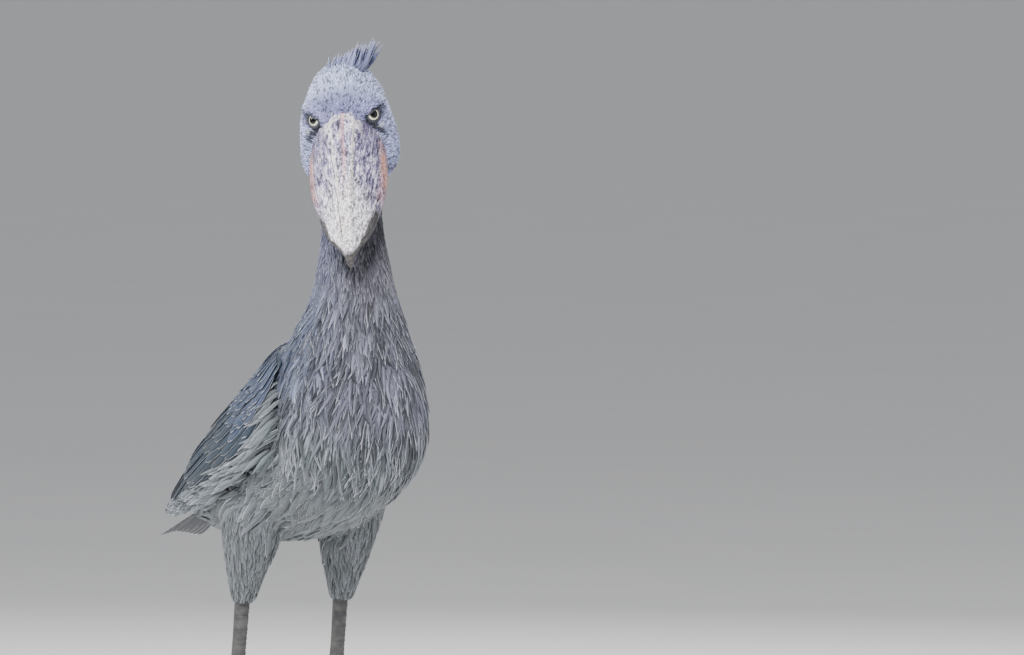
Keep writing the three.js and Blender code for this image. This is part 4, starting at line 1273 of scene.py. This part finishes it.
plumage = plume_material("soft_plumage", 0.85, 0.9, "#d4d6e2", 0.55)
flight = plume_material("stiff_vanes", 0.6, 0.7, "#d6dce8", 0.85)
horn = bill_material()
wet_eye = eye_material()
# thin wrinkled skin with 1 mm cells, and hard matt scales of 2.4 mm
bare_skin = skin_material("bare_eyelid_skin", "#1d1e26", "#383a47", 0.55, 900.0, 0.25)
leg_skin = skin_material("scaled_leg_skin", "#2f2f33", "#4a4947", 0.6, 420.0, 0.6)
# dense keratin, worn smooth: satin, with 4 mm clouds
claw_horn = clouded_material("dark_claw_horn", "#16140f", "#3a352d", 260.0, 4.0, 0.38)

skin = build_skin()
shape_feather_line(skin)
hollow_sockets(skin)
soften(skin)
surface = BVHTree.FromObject(skin, bpy.context.evaluated_depsgraph_get())
skin_points = points_of(skin)
_, skin_maps, skin_kinds = read_guides(skin_points)
ground, _ = face_marks(skin_points, plumage_colour(skin_kinds) * 0.7)  # darker: painted shade under the feathers
set_colours(skin, ground)
set_map(skin, "OFBake", skin_maps)
set_plain_barbs(skin)

# Masks: where each piece of the coat grows
on_head, on_thigh = skin_kinds[:, 0] == ON_HEAD, skin_kinds[:, 0] == ON_THIGH
row = np.where(on_head, -1, np.where(on_thigh, 12, skin_kinds[:, 1]))
around_body = from_back(skin_kinds[:, 2])
bare = np.zeros(len(skin_points), bool)
for side in (1, -1):
    reach, angle, around = round_eye(skin_points, side)
    bare |= (angle < lid_edge(around) + 12) & (reach < 24)
forward = skull_places(skin_points)[:, 1]
behind = smooth(-35, -60, forward)
for mask, values in {
    "face": (on_head & ~bare & (forward < 30)) * (1 - behind),
    "nape": on_head * behind + (row >= 0) * (1 - smooth(1.6, 3.0, row)),
    "lower_neck": smooth(1.4, 2.8, row) * (1 - smooth(4.4, 5.2, row)) * ~on_thigh,
    "breast": smooth(3.0, 4.2, row) * (1 - smooth(6.6, 7.4, row)) * smooth(70, 110, around_body) * ~on_thigh,
    "shoulder": smooth(2.9, 3.7, row) * (1 - smooth(5.6, 6.2, row)) * (1 - smooth(95, 125, around_body))
    * ~on_thigh,
    "flank": smooth(4.6, 5.4, row) * ~on_thigh,
    "long_flank": smooth(6.2, 7.2, row) * smooth(50, 75, around_body) * (1 - smooth(10.6, 11.4, row)) * ~on_thigh,
    "thigh": on_thigh.astype(float),
}.items():
    layer = skin.data.attributes.new(mask, "FLOAT", "POINT")
    layer.data.foreach_set("value", np.clip(values, 0, 1))

place_piece(skin, "body_plumage", plumage, "head", "neck", "torso", "thigh_left", "thigh_right")

coat("coat_face", "face", "head_plumage", VELVET, spacing=2.0,
     length=lambda k: 5.5 + 3.5 * smooth(10, -45, k[:, 1]), width=2.2, thickness=0.35,
     lift=lambda k: 1.0 + 1.6 * smooth(-30, -80, k[:, 2]),
     rim=0.1, fray=0.08, jitter=0.25, mottle=0.75, vary=0.22)
coat("coat_nape", "nape", "neck_plumage", HAIRY, spacing=2.5, length=15, width=2.3, thickness=0.35, lift=1.8,
     rim=0.15, fray=0.1, jitter=0.2, mottle=0.45, clump=0.3, vary=0.25)
coat("coat_neck", "lower_neck", "neck_plumage", HAIRY, spacing=2.8,
     length=lambda k: 21 + 6 * smooth(2.5, 4.5, k[:, 1]), width=2.6, thickness=0.4, lift=1.8,
     rim=0.2, fray=0.1, jitter=0.2, mottle=0.2, clump=0.45, vary=0.25, streak_and_shade=0.25)
coat("coat_shoulder", "shoulder", "body_plumage", LEAF, spacing=6.5, length=26, width=9.5, thickness=0.4, lift=2,
     rim=0.7, fray=0.08, jitter=0.16, vary=0.25)
coat("coat_flank", "flank", "body_plumage", LEAF, spacing=7.4, length=lambda k: 34 + 6 * smooth(6, 9, k[:, 1]),
     width=11, thickness=0.4, lift=1.6, rim=0.4, fray=0.1, jitter=0.2, clump=0.3, vary=0.15)
coat("coat_breast", "breast", "body_plumage", LANCE, spacing=6.0,
     length=lambda k: 42 + 10 * smooth(4, 6, k[:, 1]), width=5.6, thickness=0.4, lift=4.5,
     rim=0.45, fray=0.14, jitter=0.18, clump=0.8, vary=0.3, streak_and_shade=0.75)
coat("coat_long_flank", "long_flank", "body_plumage", LEAF, spacing=17.0, length=56, width=13, thickness=0.5,
     lift=3, rim=0.9, fray=0.08, jitter=0.12, clump=0.3)
coat("coat_thigh", "thigh", "leg_plumage", HAIRY, spacing=4.6, length=lambda k: 24 - 8 * k[:, 1], width=4.6,
     thickness=0.4, lift=2, rim=0.2, fray=0.08, jitter=0.15, vary=0.25)

for side, name in ((1, "left"), (-1, "right")):
    back = STEP[name]
    core = wing_core(side, name)
    set_colours(core, rgb(SLATE))
    set_plain_barbs(core)
    set_map(core, "OFBake", 0.1 + points_of(core)[:, 1:])
    place_piece(core, "wing_feathers", flight)
    place_piece(wing_feathers(side, name), "wing_feathers", flight, f"wing_{name}")
    place_piece(flank_fringe(side, name), "body_plumage", plumage)
    place_piece(build_eye(side, name), "eye", wet_eye, f"eye_{name}")
    place_piece(build_lids(side, name), "head_plumage", bare_skin)
    place_piece(build_shank(side, back, name), "leg_scales", leg_skin, f"shank_{name}")
    for digit, toe in TOES.items():
        scaled = build_toe(side, back, toe, f"toe_scaled_{name}_{digit}")
        place_piece(scaled, "leg_scales", leg_skin, f"toe_{name}_{digit}")
        claw = build_claw(side, back, toe, f"claw_horn_{name}_{digit}")
        place_piece(claw, "claw_horn", claw_horn, f"claw_{name}_{digit}")

place_piece(tail_feathers(), "tail_feathers", flight, "tail")
place_piece(crest_feathers(), "head_plumage", plumage)
for upper in (True, False):
    place_piece(build_bill(upper), "bill_horn", horn, "bill_upper" if upper else "bill_lower")

# Floor, light and camera

floor = mesh_object("floor", [(-120, -120, 0), (120, -120, 0), (120, 120, 0), (-120, 120, 0)], [[0, 1, 2, 3]])
floor.data.materials.append(clouded_material("pale_floor", "#eeeeec", "#f1f0ee", 3.0, 3.0, 0.9))


def area_light(name, at, size, power, target):
    data = bpy.data.lights.new(name, "AREA")
    data.shape, data.size, data.energy = "DISK", size, power
    lamp = bpy.data.objects.new(name, data)
    lamp.location = at
    lamp.rotation_euler = (Vector(target) - Vector(at)).to_track_quat("-Z", "Y").to_euler()
    bpy.context.scene.collection.objects.link(lamp)


area_light("key", (-2.0, -2.2, 3.3), 1.6, 290, (0, -0.05, 0.75))
area_light("fill", (2.6, -3.0, 1.6), 3.0, 25, (0, -0.05, 0.75))
area_light("rim_left", (-2.4, 1.6, 2.4), 1.6, 110, (0, 0, 0.85))
area_light("rim_right", (2.2, 2.2, 2.6), 1.6, 120, (0, 0, 0.85))
sky = bpy.data.worlds.new("studio")
sky.use_nodes = True
sky.node_tree.nodes["Background"].inputs["Color"].default_value = linear("#e9ebf0")
sky.node_tree.nodes["Background"].inputs["Strength"].default_value = 0.5
bpy.context.scene.world = sky

# The photo's view: 33 degrees to the bird's right of its front, 3 degrees above level, from 12 m away.
VIEW_TURN, VIEW_RISE, DISTANCE, FRAME_WIDTH = -33.0, 3.0, 12.0, 1.3312
turned, raised = math.radians(VIEW_TURN), math.radians(VIEW_RISE)
away = np.array([math.sin(turned) * math.cos(raised), -math.cos(turned) * math.cos(raised), math.sin(raised)])
# It looks at a point level with the eyes in depth, 287 mm to the right of the body's axis and 751 mm up.
FRAME_RIGHT, FRAME_UP = 287, 751
depth = VIEW_LINE[0] * EYES_MID[0] + VIEW_LINE[1] * EYES_MID[1]
aim_x = VIEW_LINE[1] * FRAME_RIGHT + VIEW_LINE[0] * depth
aim_y = -VIEW_LINE[0] * FRAME_RIGHT + VIEW_LINE[1] * depth
aim = world([aim_x, aim_y, FRAME_UP])
SENSOR = 36
camera_data = bpy.data.cameras.new("photo_view")
camera_data.sensor_width = SENSOR
camera_data.lens = SENSOR * DISTANCE / FRAME_WIDTH
camera_data.clip_end = 100
camera = bpy.data.objects.new("photo_view", camera_data)
camera.location = aim + away * DISTANCE
camera.rotation_euler = Vector(-away).to_track_quat("-Z", "Y").to_euler()
bpy.context.scene.collection.objects.link(camera)
bpy.context.scene.camera = camera
